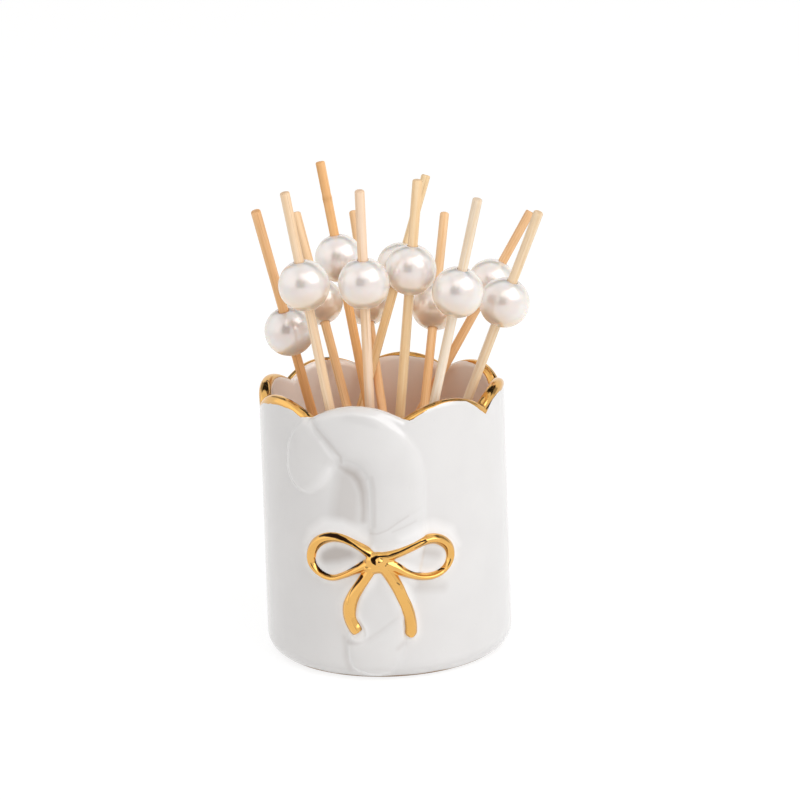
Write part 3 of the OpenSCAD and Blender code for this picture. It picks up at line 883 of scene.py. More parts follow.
    def build(self) -> bpy.types.Object:
        """Makes the cup's mesh with its masks."""
        azimuth = self.azimuths()
        radii, heights, inner = self.profile(azimuth)
        points = self.wall.place(azimuth[None, :], radii, heights).reshape(-1, 3)
        rows, columns = radii.shape
        piece = make_piece("cup_glazed", points, grid_faces(rows, columns))
        add_values(piece, "inner", np.repeat(inner, columns))
        turn = (azimuth + 180) % 360 - 180
        add_values(piece, "depth", self._well_shade(turn, heights).ravel())
        add_values(piece, "bare", self._bare(azimuth, radii, heights).ravel())
        arcs = np.broadcast_to(np.radians(turn) * self.wall.rim_r, heights.shape)
        places = np.stack([arcs.ravel(), heights.ravel()], 1)
        outside = np.repeat(inner == 0, columns)
        # Painted shade and painted highlight on the outer glaze; the bow's halo adds painted highlight.
        halo = self.halo_highlight_share * self.cane.halo(np.broadcast_to(turn, heights.shape), heights).ravel()
        for name, marks, least in (("painted_shade", self.painted_shade_strokes, 0 * halo), ("bright", self.painted_highlight_strokes, halo)):
            for soft, strength, stroke in marks:
                least = np.maximum(least, strength * stroke_mask(places, (stroke,), soft))
            add_values(piece, name, least * outside)
        return piece

    def dress(self, glaze: bpy.types.Material) -> bpy.types.Object:
        """Builds the cup and puts it in place of its solids."""
        piece = self.build()
        piece.data.materials.append(glaze)
        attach(piece, "root")
        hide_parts("cup", "candy_cane")
        return piece


@dataclass
class GoldRim:
    """Lustre brushed over the crest, wide outside on some petals and only inside on the cane's petal."""

    body: CupBody
    thickness: float = 0.1
    sunk: float = 0.03
    edge_power: int = 6
    across: int = 31
    step: float = 0.4
    rows_below: int = 23
    rows_inside: int = 10
    knots: int = 121
    uneven: float = 0.09
    seeds: tuple[int, int] = (3, 4)
    dark_reflection_soft: float = 0.12
    lone_w: float = 1.4
    worn_at: float = 31.0
    worn_most: float = 0.5
    worn_start: float = 1.5
    worn_fade: float = 14.0
    border_gain: float = 1.6
    border_start: float = 0.9
    border_thin: float = 0.55
    lone_thin: float = 0.8
    # The painted edges as azimuth and distance from the crest, and the painted dark reflections streaked on
    # the lustre.
    outside: tuple = (
        (-180, 1.3), (-168, 0.6), (-150, 1.2), (-128, 1.9), (-118, 2.5), (-100, 2.7), (-84, 2.1),
        (-72, 2.5), (-65, 2.9), (-60, 2.7), (-55, 2.4), (-50, 2.2), (-45, 1.8), (-40, 2.1),
        (-37.8, 1.4), (-36.2, 0.4), (-35, -0.7), (-30, -1.0), (-12, -1.0), (4, -1.0), (8.6, -0.8),
        (10.4, 0.6), (12, 1.5), (14, 1.8), (20, 1.4), (26, 1.15), (32, 1.0), (42, 1.3), (50, 2.7),
        (55, 3.1), (58, 2.5), (62, 2.2), (70, 2.4), (75, 3.0), (80, 2.6), (90, 2.1), (100, 2.4),
        (112, 1.6), (130, 1.3), (146, 1.5), (160, 0.9), (180, 1.3))
    inside: tuple = (
        (-180, 0.9), (-168, 0.5), (-150, 1.4), (-140, 0.8), (-126, 0.9), (-118, 1.6), (-110, 2.0),
        (-97, 2.2), (-85, 2.2), (-80, 1.9), (-70, 1.3), (-60, 1.1), (-50, 0.8), (-45, 0.9), (-38, 1.1),
        (-30, 1.4), (-12, 1.35), (6, 1.4), (12, 1.9), (32, 1.9), (50, 1.8), (56, 2.0), (70, 2.0),
        (90, 1.8), (100, 2.1), (112, 2.0), (124, 1.6), (134, 0.7), (150, 0.6), (160, 1.7), (170, 1.8),
        (180, 0.9))
    # Painted dark reflections: streaks as azimuth, distance from the crest and half width.
    streaks: tuple = (
        ((-96, -0.4, 0.12), (-94, -1.2, 0.1), (-90, -1.6, 0.1), (-85, -1.6, 0.13), (-83, -1.1, 0.14),
         (-89, -0.9, 0.08), (-94, -0.4, 0.09), (-96, -0.4, 0.12)),
        ((-54, -0.3, 0.05), (-50, -0.45, 0.22), (-46.5, -0.55, 0.09), (-43, -0.7, 0.09),
         (-40.5, -0.6, 0.22), (-38.5, -0.4, 0.15)),
        ((12.5, 1.8, 0.25), (15, 2.0, 0.18), (18, 2.0, 0.08), (22, 1.95, 0.1), (25, 1.85, 0.2),
         (27, 1.7, 0.28), (31, 1.4, 0.12)),
        ((55.5, 2.0, 0.18), (59, 2.3, 0.42), (63, 2.4, 0.42), (66, 2.2, 0.18)),
        ((-152, -0.5, 0.25), (-150, -0.5, 0.2)),
        ((164, 0.3, 0.1), (158, 0.3, 0.13), (152, 0.2, 0.1)),
        ((96, 0.6, 0.12), (104, 0.7, 0.1), (112, 0.4, 0.05)),
        ((-128, 0.8, 0.12), (-122, 1.0, 0.16), (-116, 0.9, 0.08)),
        ((132, 0.9, 0.1), (138, 1.1, 0.15)))

    def extent(self, azimuth: np.ndarray, table: tuple, seed: int) -> np.ndarray:
        """Distance of a painted edge from the crest, with the brush's unevenness.

        Args:
            azimuth: Azimuths in degrees.
            table: Pairs of azimuth and distance.
            seed: Seed of the unevenness.

        Returns:
            Distances in millimetres.
        """
        turn = (azimuth + 180) % 360 - 180
        base = np.interp(turn, [p[0] for p in table], [p[1] for p in table])
        knots = smooth_noise(seed, self.knots)
        knots[-1] = knots[0]
        return base + self.uneven * np.interp(turn, np.linspace(-180, 180, self.knots), knots)

    def build(self) -> bpy.types.Object:
        """Makes the lustre's mesh, which follows the cup's own lip."""
        left = self.body.front[0]
        evenly = np.arange(left, left + 360, self.step)
        azimuth = np.unique(np.concatenate([self.body.azimuths(), evenly]).round(2))
        radii, heights, _ = self.body.profile(azimuth)
        first = self.body.lip_row - self.rows_below
        last = self.body.lip_row + self.body.lip_rows + self.rows_inside
        r, z = radii[first:last], heights[first:last]
        steps = np.hypot(np.diff(r, axis=0), np.diff(z, axis=0))
        length = np.concatenate([np.zeros((1, len(azimuth))), np.cumsum(steps, axis=0)])
        top = np.argmax(z, axis=0)
        reach_out = self.extent(azimuth, self.outside, self.seeds[0])
        reach_in = self.extent(azimuth, self.inside, self.seeds[1])
        share = np.linspace(0, 1, self.across)
        crown = np.sqrt(np.clip(1 - np.abs(2 * share - 1) ** self.edge_power, 0, 1))
        bulge = self.thickness * crown - self.sunk
        points = np.zeros((self.across, len(azimuth), 3))
        dark_reflection = np.zeros((self.across, len(azimuth)))
        scale = math.radians(self.body.wall.well_r + self.body.wall.wall / 2)
        streaks = tuple(tuple((a * scale, off, half) for a, off, half in line) for line in self.streaks)
        for c in range(len(azimuth)):
            middle = length[top[c], c]
            at = middle - reach_out[c] + share * (reach_out[c] + reach_in[c])
            turn = (azimuth[c] + 180) % 360 - 180
            places = np.stack([np.full(self.across, turn * scale), middle - at], 1)
            # Painted dark reflections along the streaks.
            dark_reflection[:, c] = stroke_mask(places, streaks, self.dark_reflection_soft)
            rr, zz = np.interp(at, length[:, c], r[:, c]), np.interp(at, length[:, c], z[:, c])
            dr, dz = np.gradient(rr), np.gradient(zz)
            size = np.hypot(dr, dz) + 1e-9
            rr, zz = rr + bulge * dz / size, zz - bulge * dr / size
            points[:, c] = self.body.wall.place(np.full(self.across, azimuth[c]), rr, zz)
        piece = make_piece("rim_lustre", points.reshape(-1, 3), grid_faces(self.across, len(azimuth)))
        border = np.clip(np.abs(2 * share - 1) * self.border_gain - self.border_start, 0, 1)[:, None]
        border = border * np.ones(len(azimuth))
        lone = np.clip(self.lone_w - (reach_out + reach_in), 0, 1)[None, :]
        turn = (azimuth + 180) % 360 - 180
        off = np.abs(turn - self.worn_at) / self.worn_fade
        worn = self.worn_most * np.clip(self.worn_start - off, 0, 1)[None, :]
        thin = np.clip(self.border_thin * border + self.lone_thin * lone + worn, 0, 1)
        add_values(piece, "thin", thin.ravel())
        add_values(piece, "dark_reflection", dark_reflection.ravel())
        return piece

    def dress(self, lustre: bpy.types.Material) -> bpy.types.Object:
        """Builds the lustre and puts it in place of its solid."""
        piece = self.build()
        piece.data.materials.append(lustre)
        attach(piece, "root")
        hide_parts("rim_gilding")
        return piece


@dataclass
class GoldBow:
    """The bow: ribbons and knot melted into one gold form over the wall and the cane."""

    wall: WallForm
    cane: CaneRelief
    plan: BowPlan
    rise: float = 1.5
    sunk: float = 1.1
    voxel: float = 0.11
    smooth_share: float = 0.5
    smooth_passes: int = 14
    step: float = 0.25
    ring: int = 28
    # Section of a ribbon.
    plateau: float = 0.22
    ridge_power: float = 0.62
    flat: float = 0.93
    crown: float = 0.07
    side_power: float = 0.9
    least_rise: float = 0.72
    more_rise: float = 0.28
    full_half_w: float = 1.5
    # The seat under the bow, evened out along loops and tails.
    bridge: float = 1.2
    loop_seat: float = 4.25
    tail_seat: float = 5.75
    seat_reach: float = 2.5
    dome_rows: int = 20
    dome_ring: int = 32
    # Creases, dented and painted with dark reflections, and brown edges.
    spread: float = 0.03
    crease_soft: float = 0.14
    crease_deep: float = 0.1
    crease_fade: float = 0.12
    brown_reach: float = 0.16
    brown_fade: float = 0.2
    brown_share: float = 0.5
    # Half width, half height and rise of the knot's two domes.
    base: tuple[float, float, float] = (3.3, 2.3, 1.62)
    knob: tuple[float, float, float] = (1.5, 1.4, 2.0)
    # Crease lines as arc, height and half width: each dents the gold a little and is painted black as a
    # dark reflection.
    creases: tuple = (
        ((-16.2, 35.8, 0.1), (-14.9, 36.3, 0.2), (-13.4, 36.5, 0.34), (-11.7, 36.4, 0.4),
         (-9.7, 35.85, 0.3), (-7.6, 34.8, 0.14), (-5.9, 33.6, 0.12), (-4.6, 32.7, 0.22),
         (-4.0, 32.3, 0.34)),
        ((-1.7, 32.25, 0.08), (-2.4, 32.05, 0.26), (-3.1, 31.55, 0.44), (-2.95, 31.0, 0.42),
         (-2.65, 30.35, 0.12)),
        ((-2.7, 31.9, 0.24), (-1.8, 32.2, 0.12), (0.1, 32.3, 0.13), (1.0, 32.6, 0.22),
         (2.6, 33.1, 0.18), (5.5, 34.3, 0.12), (7.4, 35.0, 0.1), (8.5, 35.2, 0.22)),
        ((8.8, 34.9, 0.12), (7.4, 34.2, 0.06), (6.0, 33.7, 0.04)),
        ((-5.8, 30.4, 0.2), (-6.8, 29.5, 0.14), (-8.3, 28.7, 0.12), (-9.7, 28.0, 0.08)),
        ((-18.0, 30.2, 0.0), (-17.8, 29.0, 0.08), (-17.0, 27.7, 0.15), (-16.3, 27.15, 0.2),
         (-15.0, 26.6, 0.14), (-13.6, 26.2, 0.04)),
        ((-5.9, 27.0, 0.3), (-6.6, 25.9, 0.26), (-7.6, 24.6, 0.17), (-8.5, 23.2, 0.06),
         (-8.9, 22.2, 0.0), (-9.3, 19.9, -0.05)),
        ((2.3, 30.05, 0.14), (2.85, 29.6, 0.14), (3.65, 28.75, 0.0), (5.2, 27.8, 0.08),
         (7.0, 27.15, 0.03), (9.0, 26.7, -0.04)),
        ((3.95, 21.2, -0.06), (4.75, 19.6, -0.01), (5.3, 17.8, -0.01), (5.6, 15.7, -0.05)),
        ((11.8, 27.0, 0.12), (13.1, 27.3, 0.1)),
        ((1.8, 25.7, 0.05), (2.4, 25.1, 0.07)))

    def _seat(self, arc: np.ndarray, z: np.ndarray) -> np.ndarray:
        """Height of the surface that the bow lies on, bridging the cane's edges."""
        places = [np.degrees((arc + d) / self.wall.rim_r) for d in (-self.bridge, 0, self.bridge)]
        return sum(self.cane.height(azimuth, z) for azimuth in places) / len(places)

    def _ribbon(self, line: tuple, spread: float, beyond: str) -> tuple[np.ndarray, list]:
        """A closed tube along one ribbon, in the unrolled space of arc, out and height.

        Args:
            line: Points of arc, height and half width.
            spread: Length over which the seat is evened out, in millimetres.
            beyond: How the seat goes on past the ends: "edge" or "reflect".

        Returns:
            Points and faces.
        """
        keys = np.array(line)
        at = np.concatenate([[0], np.cumsum(np.hypot(*np.diff(keys[:, :2], axis=0).T))])
        fine = np.arange(0, at[-1], self.step)
        path = np.stack([self._curve(at, keys[:, k], fine) for k in range(3)], 1)
        turn = np.linspace(0, 2 * math.pi, self.ring + 1)[:-1]
        side = np.gradient(path[:, :2], axis=0)
        side /= np.linalg.norm(side, axis=1)[:, None]
        cos, sin = np.cos(turn), np.sin(turn)
        ridge = np.clip((1 - np.abs(cos)) / (1 - self.plateau), 0, 1) ** self.ridge_power
        ridge = ridge * (self.flat + self.crown * np.abs(sin))
        across = path[:, 2:3] * (np.sign(cos) * np.abs(cos) ** self.side_power)[None, :]
        arc = path[:, 0:1] - side[:, 1:2] * across
        z = path[:, 1:2] + side[:, 0:1] * across
        full = np.clip(path[:, 2:3] / self.full_half_w, 0, 1)
        height = self.rise * (self.least_rise + self.more_rise * full)
        reach = int(self.seat_reach * spread / self.step)
        share = np.exp(-0.5 * (np.arange(-reach, reach + 1) * self.step / spread) ** 2)
        seat = np.pad(self._seat(path[:, 0], path[:, 1]), reach, beyond)
        seat = np.convolve(seat, share / share.sum(), "valid")
        out = seat[:, None] + height * np.where(sin > 0, ridge, sin * self.sunk)[None, :]
        points = np.stack([arc, out, z], -1).reshape(-1, 3)
        count = len(fine)
        faces = grid_faces(count, self.ring)
        faces += [list(range(self.ring))[::-1], list(range((count - 1) * self.ring, count * self.ring))]
        return points, faces

    @staticmethod
    def _curve(at: np.ndarray, values: np.ndarray, fine: np.ndarray) -> np.ndarray:
        """A smooth curve through values, by cubic pieces with even slopes.

        Args:
            at: Places of the values.
            values: The values.
            fine: Places to read.

        Returns:
            The values there.
        """
        slope = np.gradient(values, at)
        i = np.clip(np.searchsorted(at, fine, "right") - 1, 0, len(at) - 2)
        h = at[i + 1] - at[i]
        t = (fine - at[i]) / h
        return ((1 + 2 * t) * (1 - t) ** 2 * values[i] + t * (1 - t) ** 2 * h * slope[i]
                + t * t * (3 - 2 * t) * values[i + 1] + t * t * (t - 1) * h * slope[i + 1])

    def _knot(self, half_w: float, half_h: float, rise: float) -> tuple[np.ndarray, list]:
        """A dome over the crossing, in the unrolled space.

        Args:
            half_w: Half its width.
            half_h: Half its height on the wall.
            rise: How far it stands out.

        Returns:
            Points and faces.
        """
        arc, z = self.plan.knot[:2]
        up = np.linspace(-math.pi / 2, math.pi / 2, self.dome_rows)[:, None]
        turn = np.linspace(0, 2 * math.pi, self.dome_ring + 1)[None, :-1]
        seat = self._seat(np.array([arc]), np.array([z]))[0]
        points = np.stack([arc + half_w * np.cos(up) * np.cos(turn),
                           seat + rise * np.sin(up) + 0 * turn,
                           z + half_h * np.cos(up) * np.sin(turn)], -1)
        return points.reshape(-1, 3), grid_faces(self.dome_rows, self.dome_ring)

    def build(self) -> bpy.types.Object:
        """Joins the ribbons and the knot, melts them together and bends them round the wall."""
        points, faces, count = [], [], 0
        ribbons = [self._ribbon(line, self.loop_seat, "edge") for line in self.plan.ribbons]
        ribbons += [self._ribbon(line, self.tail_seat, "reflect") for line in self.plan.tails]
        for part in ribbons + [self._knot(*self.base), self._knot(*self.knob)]:
            points.append(part[0])
            faces += [[k + count for k in face] for face in part[1]]
            count += len(part[0])
        piece = make_piece("bow_gold", np.concatenate(points), faces)
        bpy.context.view_layer.objects.active = piece
        piece.select_set(True)
        melt = piece.modifiers.new("melt", "REMESH")
        melt.mode, melt.voxel_size, melt.use_smooth_shade = "VOXEL", self.voxel * MM, True
        smooth = piece.modifiers.new("smooth", "SMOOTH")
        smooth.factor, smooth.iterations = self.smooth_share, self.smooth_passes
        for name in ("melt", "smooth"):
            bpy.ops.object.modifier_apply(modifier=name)
        flat = np.empty(len(piece.data.vertices) * 3)
        piece.data.vertices.foreach_get("co", flat)
        arc, out, z = (flat.reshape(-1, 3) / MM).T
        creases = tuple(tuple((a, b, half + self.spread) for a, b, half in line) for line in self.creases)
        # Painted dark reflections along the creases, which also dent the gold.
        dark_reflection = stroke_mask(np.stack([arc, z], 1), creases, self.crease_soft)
        dark_reflection *= np.clip((out - self._seat(arc, z)) / self.crease_fade, 0, 1)
        out = out - self.crease_deep * dark_reflection
        azimuth = np.degrees(arc / self.wall.rim_r)
        bent = self.wall.place(azimuth, self.wall.radius(z) + out, z)
        piece.data.vertices.foreach_set("co", (bent * MM).ravel())
        piece.data.update()
        add_values(piece, "dark_reflection", dark_reflection)
        low = np.clip((self.cane.height(azimuth, z) + self.brown_reach - out) / self.brown_fade, 0, 1)
        add_values(piece, "thin", low * self.brown_share)
        return piece

    def dress(self, lustre: bpy.types.Material) -> bpy.types.Object:
        """Builds the bow and puts it in place of its solids."""
        piece = self.build()
        piece.data.materials.append(lustre)
        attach(piece, "root")
        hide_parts("bow_knot", "bow_left_loop", "bow_right_loop", "bow_left_tail", "bow_right_tail")
        return piece


@dataclass(frozen=True)
class PickLook:
    """How one pick stands and looks: its shares of the well, its stain, and its marks."""

    tip: tuple[float, float]
    rim: tuple[float, float]
    drop: float
    tone: Tone
    stain: Colour
    # Painted light on the stick's lower part.
    lift: float = 0.1
    # Painted warm reflection on the pearl.
    reflected_warmth: float = 0.0
    node_at: float = -1.0
    frayed: bool = False


@dataclass
class Pick:
    """One pick: a turned stick with a point, and a pearl bead threaded on it."""

    number: int
    look: PickLook
    wall: WallForm
    length: float = 116.0
    thick: float = 2.4
    point_len: float = 10.0
    point_d: float = 0.6
    bead_d: float = 12.0
    bore_gap: float = 0.03
    floor_gap: float = 0.2
    sides: int = 28
    point_rows: int = 14
    body_rows: int = 96
    # The cut end, as distance from the end and drop of the radius.
    end_round: tuple = ((0.35, 0.0), (0.1, 0.1), (0.0, 0.28))
    end_rows: tuple = (0.2, 0.07, 0.0)
    cut_in: float = 0.03
    frayed_in: float = 0.12
    # Unevenness of the turned stick.
    first_seed: int = 40
    shrink: float = 0.05
    most_out: float = 0.02
    waves: float = 0.022
    wander: float = 0.018
    fibres: float = 0.016
    node_ridge: tuple = ((0.10, 0.0, 0.5), (-0.06, 1.0, 0.5))
    node_scar: float = 0.3
    cut_scar: float = 0.25
    cap_scars: tuple = (0.3, 0.5)
    # Stain, with painted light that brightens it towards the point, and a hue that turns more orange there.
    lot_step: float = 0.011
    cloudy: float = 0.05
    steep_below: float = 95.0
    steep_fade: float = 18.0
    steep: tuple[float, float, float] = (0.0, 0.08, 0.2)
    # The pearl.
    bead_skin: float = 0.01
    bore_round: float = 0.22
    bore_turns: tuple = (25, 50, 75, 90)
    bore_shares: tuple = (0.6, 0.0, -0.6)
    bore_stretch: float = 1.4
    bead_rows: int = 60
    bead_sides: int = 72
    warm_reflection_gain: float = 2.0

    def placing(self) -> Matrix:
        """Where the pick's point stands, with +Z along the pick."""
        w, look = self.wall, self.look
        foot = Vector((look.tip[0] * w.well_r, look.tip[1] * w.well_r, w.floor_h + self.floor_gap))
        way = Vector((look.rim[0] * w.well_r, look.rim[1] * w.well_r, w.rim_h)) - foot
        turn = Vector((0, 0, 1)).rotation_difference(way.normalized()).to_matrix().to_4x4()
        return Matrix.Translation(foot * MM) @ turn

    def _sections(self) -> tuple[np.ndarray, np.ndarray]:
        """Places along the stick and its radius there."""
        backs = [self.length - back for back, _ in self.end_round]
        rounded = [self.thick / 2 - drop for _, drop in self.end_round]
        point = np.linspace(0, self.point_len, self.point_rows)
        body = np.linspace(self.point_len, backs[0], self.body_rows)[1:]
        end = self.length - np.array(self.end_rows)
        z = np.concatenate([point, body, end])
        r = np.interp(z, [0, self.point_len], [self.point_d / 2, self.thick / 2])
        return z, np.minimum(r, np.interp(z, backs, rounded))

    def stick(self) -> bpy.types.Object:
        """Makes the stick: slightly uneven, with fibre ridges, a node where it has one, and a cut end."""
        z, r = self._sections()
        turn = np.linspace(0, 2 * math.pi, self.sides, endpoint=False)
        seed = self.first_seed + self.number
        waves = smooth_noise(seed, 6)
        uneven = sum(abs(waves[k]) * np.cos((k + 2) * turn + 6 * waves[k]) for k in range(3)) * self.waves
        along = np.interp(z, np.linspace(0, self.length, 13), smooth_noise(seed + 20, 13)) * self.wander
        fibre = self.fibres * smooth_noise(seed + 60, self.sides)
        radius = (r - self.shrink)[:, None] + uneven[None, :] + along[:, None]
        radius = radius + fibre[None, :] * (r / r.max())[:, None]
        scar = np.zeros((len(z), self.sides))
        if self.look.node_at > 0:
            off = z - self.look.node_at
            ridge = sum(high * np.exp(-(((off - at) / half) ** 2)) for high, at, half in self.node_ridge)
            radius += ridge[:, None]
            scar += self.node_scar * np.exp(-((off / self.node_ridge[0][2]) ** 2))[:, None]
        radius = np.minimum(radius, self.thick / 2 + self.most_out)
        x, y = radius * np.cos(turn), radius * np.sin(turn)
        points = np.stack([x, y, np.broadcast_to(z[:, None], x.shape)], -1).reshape(-1, 3)
        faces = grid_faces(len(z), self.sides)
        count = len(points)
        top_z = self.length - (self.frayed_in if self.look.frayed else self.cut_in)
        points = np.concatenate([points, [[0, 0, 0.0], [0.1, 0, top_z]]])
        last = (len(z) - 1) * self.sides
        for k in range(self.sides):
            k2 = (k + 1) % self.sides
            faces += [[count, k2, k], [count + 1, last + k, last + k2]]
        piece = make_piece(f"pick_{self.number}_bamboo", points, faces)
        scar[-len(self.end_rows):] += self.cut_scar
        add_values(piece, "scar", np.concatenate([scar.ravel(), self.cap_scars]))
        add_values(piece, "lot", np.full(count + 2, self.lot_step * self.number))
        shade = 1 + self.cloudy * np.interp(z, np.linspace(0, self.length, 7), smooth_noise(seed + 90, 7))
        low = np.clip((self.steep_below - z) / self.steep_fade, 0, 1)[:, None]
        steep = np.array(self.steep) * (self.look.tone is Tone.TAN)
        # Painted light: the stain brightened towards the point, where the stick stands in shade.
        tinted = (shade[:, None] * (1 + self.look.lift * low)) * np.array(self.look.stain)
        tinted = tinted * (1 - low * steep)
        tinted = np.repeat(tinted / np.maximum(tinted.max(axis=1, keepdims=True), 1), self.sides, axis=0)
        add_colours(piece, "stain", np.concatenate([tinted, [self.look.stain] * 2]))
        return piece

    def bead(self) -> bpy.types.Object:
        """Makes the pearl with its bore, whose edges are rounded."""
        radius, bore = self.bead_d / 2 - self.bead_skin, self.thick / 2 + self.bore_gap
        middle = self.length * (1 - self.look.drop)
        edge = self.bore_round
        first = math.asin((bore + edge) / radius)
        turns = np.linspace(first, math.pi - first, self.bead_rows)
        outline = [(radius * math.sin(t), radius * math.cos(t), 0.0) for t in turns]
        mouth = radius * math.cos(first)
        deep = edge * self.bore_stretch
        lip = [(bore + edge * (1 - math.sin(t)), mouth - deep * (1 - math.cos(t)), math.sin(t))
               for t in np.radians(self.bore_turns)]
        wall = [(bore, mouth * k, 1.0) for k in self.bore_shares]
        tail = [(r, -z, m) for r, z, m in lip[::-1]]
        rows = np.array(outline[::-1] + lip + wall + tail)
        turn = np.linspace(0, 2 * math.pi, self.bead_sides, endpoint=False)
        heights = np.broadcast_to(rows[:, 1:2] + middle, (len(rows), self.bead_sides))
        points = np.stack([rows[:, 0:1] * np.cos(turn), rows[:, 0:1] * np.sin(turn), heights], -1)
        points = points.reshape(-1, 3)
        total = len(points)
        faces = [[k % total for k in face] for face in grid_faces(len(rows) + 1, self.bead_sides)]
        piece = make_piece(f"pick_{self.number}_pearl", points, faces)
        add_values(piece, "bore", np.repeat(rows[:, 2], self.bead_sides))
        # Painted warm reflection, stronger towards the bead's underside.
        low = np.clip((middle - points[:, 2]) / radius, 0, 1)
        add_values(piece, "warm_reflection", np.clip(self.look.reflected_warmth + self.warm_reflection_gain * low, 0, 1))
        return piece

    def dress(self, woods: dict, pearl: bpy.types.Material) -> list[bpy.types.Object]:
        """Builds the stick and the pearl and puts them in place of their solids.

        Args:
            woods: The bamboo material of each tone.
            pearl: The pearl material.

        Returns:
            The two pieces.
        """
        stick, bead = self.stick(), self.bead()
        for piece, node, finish, slot in (
                (stick, f"pick_{self.number}_stick", woods[self.look.tone], self.look.tone.value),
                (bead, f"pick_{self.number}_bead", pearl, "pearl")):
            piece.matrix_world = self.placing()
            piece.data.materials.append(finish)
            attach(piece, f"pick_{self.number}")
            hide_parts(node)
        return [stick, bead]


@dataclass
class Picks:
    """The twelve picks, from the left of the cup to its right."""

    wall: WallForm
    looks: tuple[PickLook, ...] = (
        PickLook((-0.22, 0.60), (-0.67, -0.11), 0.285, Tone.TAN, (1.0, 0.63, 0.325), lift=0.5),
        PickLook((-0.10, -0.57), (-0.45, -0.80), 0.195, Tone.PALE, (1.0, 0.8, 0.58)),
        PickLook((0.17, -0.57), (-0.40, 0.74), 0.215, Tone.TAN, (1.0, 0.725, 0.45), lift=0.35, reflected_warmth=0.1),
        PickLook((0.18, 0.43), (-0.17, 0.52), 0.210, Tone.TAN, (0.985, 0.605, 0.285), node_at=107.0),
        PickLook((0.24, -0.60), (-0.04, 0.85), 0.220, Tone.TAN, (1.0, 0.712, 0.44), lift=0.3, reflected_warmth=0.1),
        PickLook((-0.09, -0.40), (-0.11, -0.78), 0.195, Tone.PALE, (1.0, 0.79, 0.6)),
        PickLook((-0.83, 0.28), (-0.10, 0.75), 0.205, Tone.TAN, (1.0, 0.8, 0.51), reflected_warmth=0.15),
        PickLook((-0.07, -0.52), (0.16, -0.68), 0.185, Tone.PALE, (1.0, 0.78, 0.5)),
        PickLook((0.07, -0.78), (0.44, 0.67), 0.225, Tone.TAN, (0.96, 0.67, 0.395), reflected_warmth=0.2),
        PickLook((-0.06, -0.38), (0.44, -0.78), 0.200, Tone.PALE, (1.0, 0.91, 0.78)),
        PickLook((-0.76, 0.44), (0.57, 0.69), 0.175, Tone.TAN, (1.0, 0.685, 0.41), reflected_warmth=0.1),
        PickLook((-0.04, 0.23), (0.78, -0.31), 0.210, Tone.PALE, (1.0, 0.85, 0.64), frayed=True))

    def dress(self, woods: dict, pearl: bpy.types.Material) -> list[bpy.types.Object]:
        """Builds every pick."""
        pieces = []
        for number, look in enumerate(self.looks, 1):
            pieces += Pick(number, look, self.wall).dress(woods, pearl)
        return pieces


@dataclass(frozen=True)
class StudioPatch:
    """A dark or bright place that only gloss shows: direction and half sizes in degrees, and level."""

    azimuth: float
    elevation: float
    half_w: float
    half_h: float
    level: float


@dataclass(frozen=True)
class SoftLamp:
    """A soft square lamp that faces the cup, in metres and watts."""

    name: str
    place: tuple[float, float, float]
    size: float
    power: float
    tint: Colour


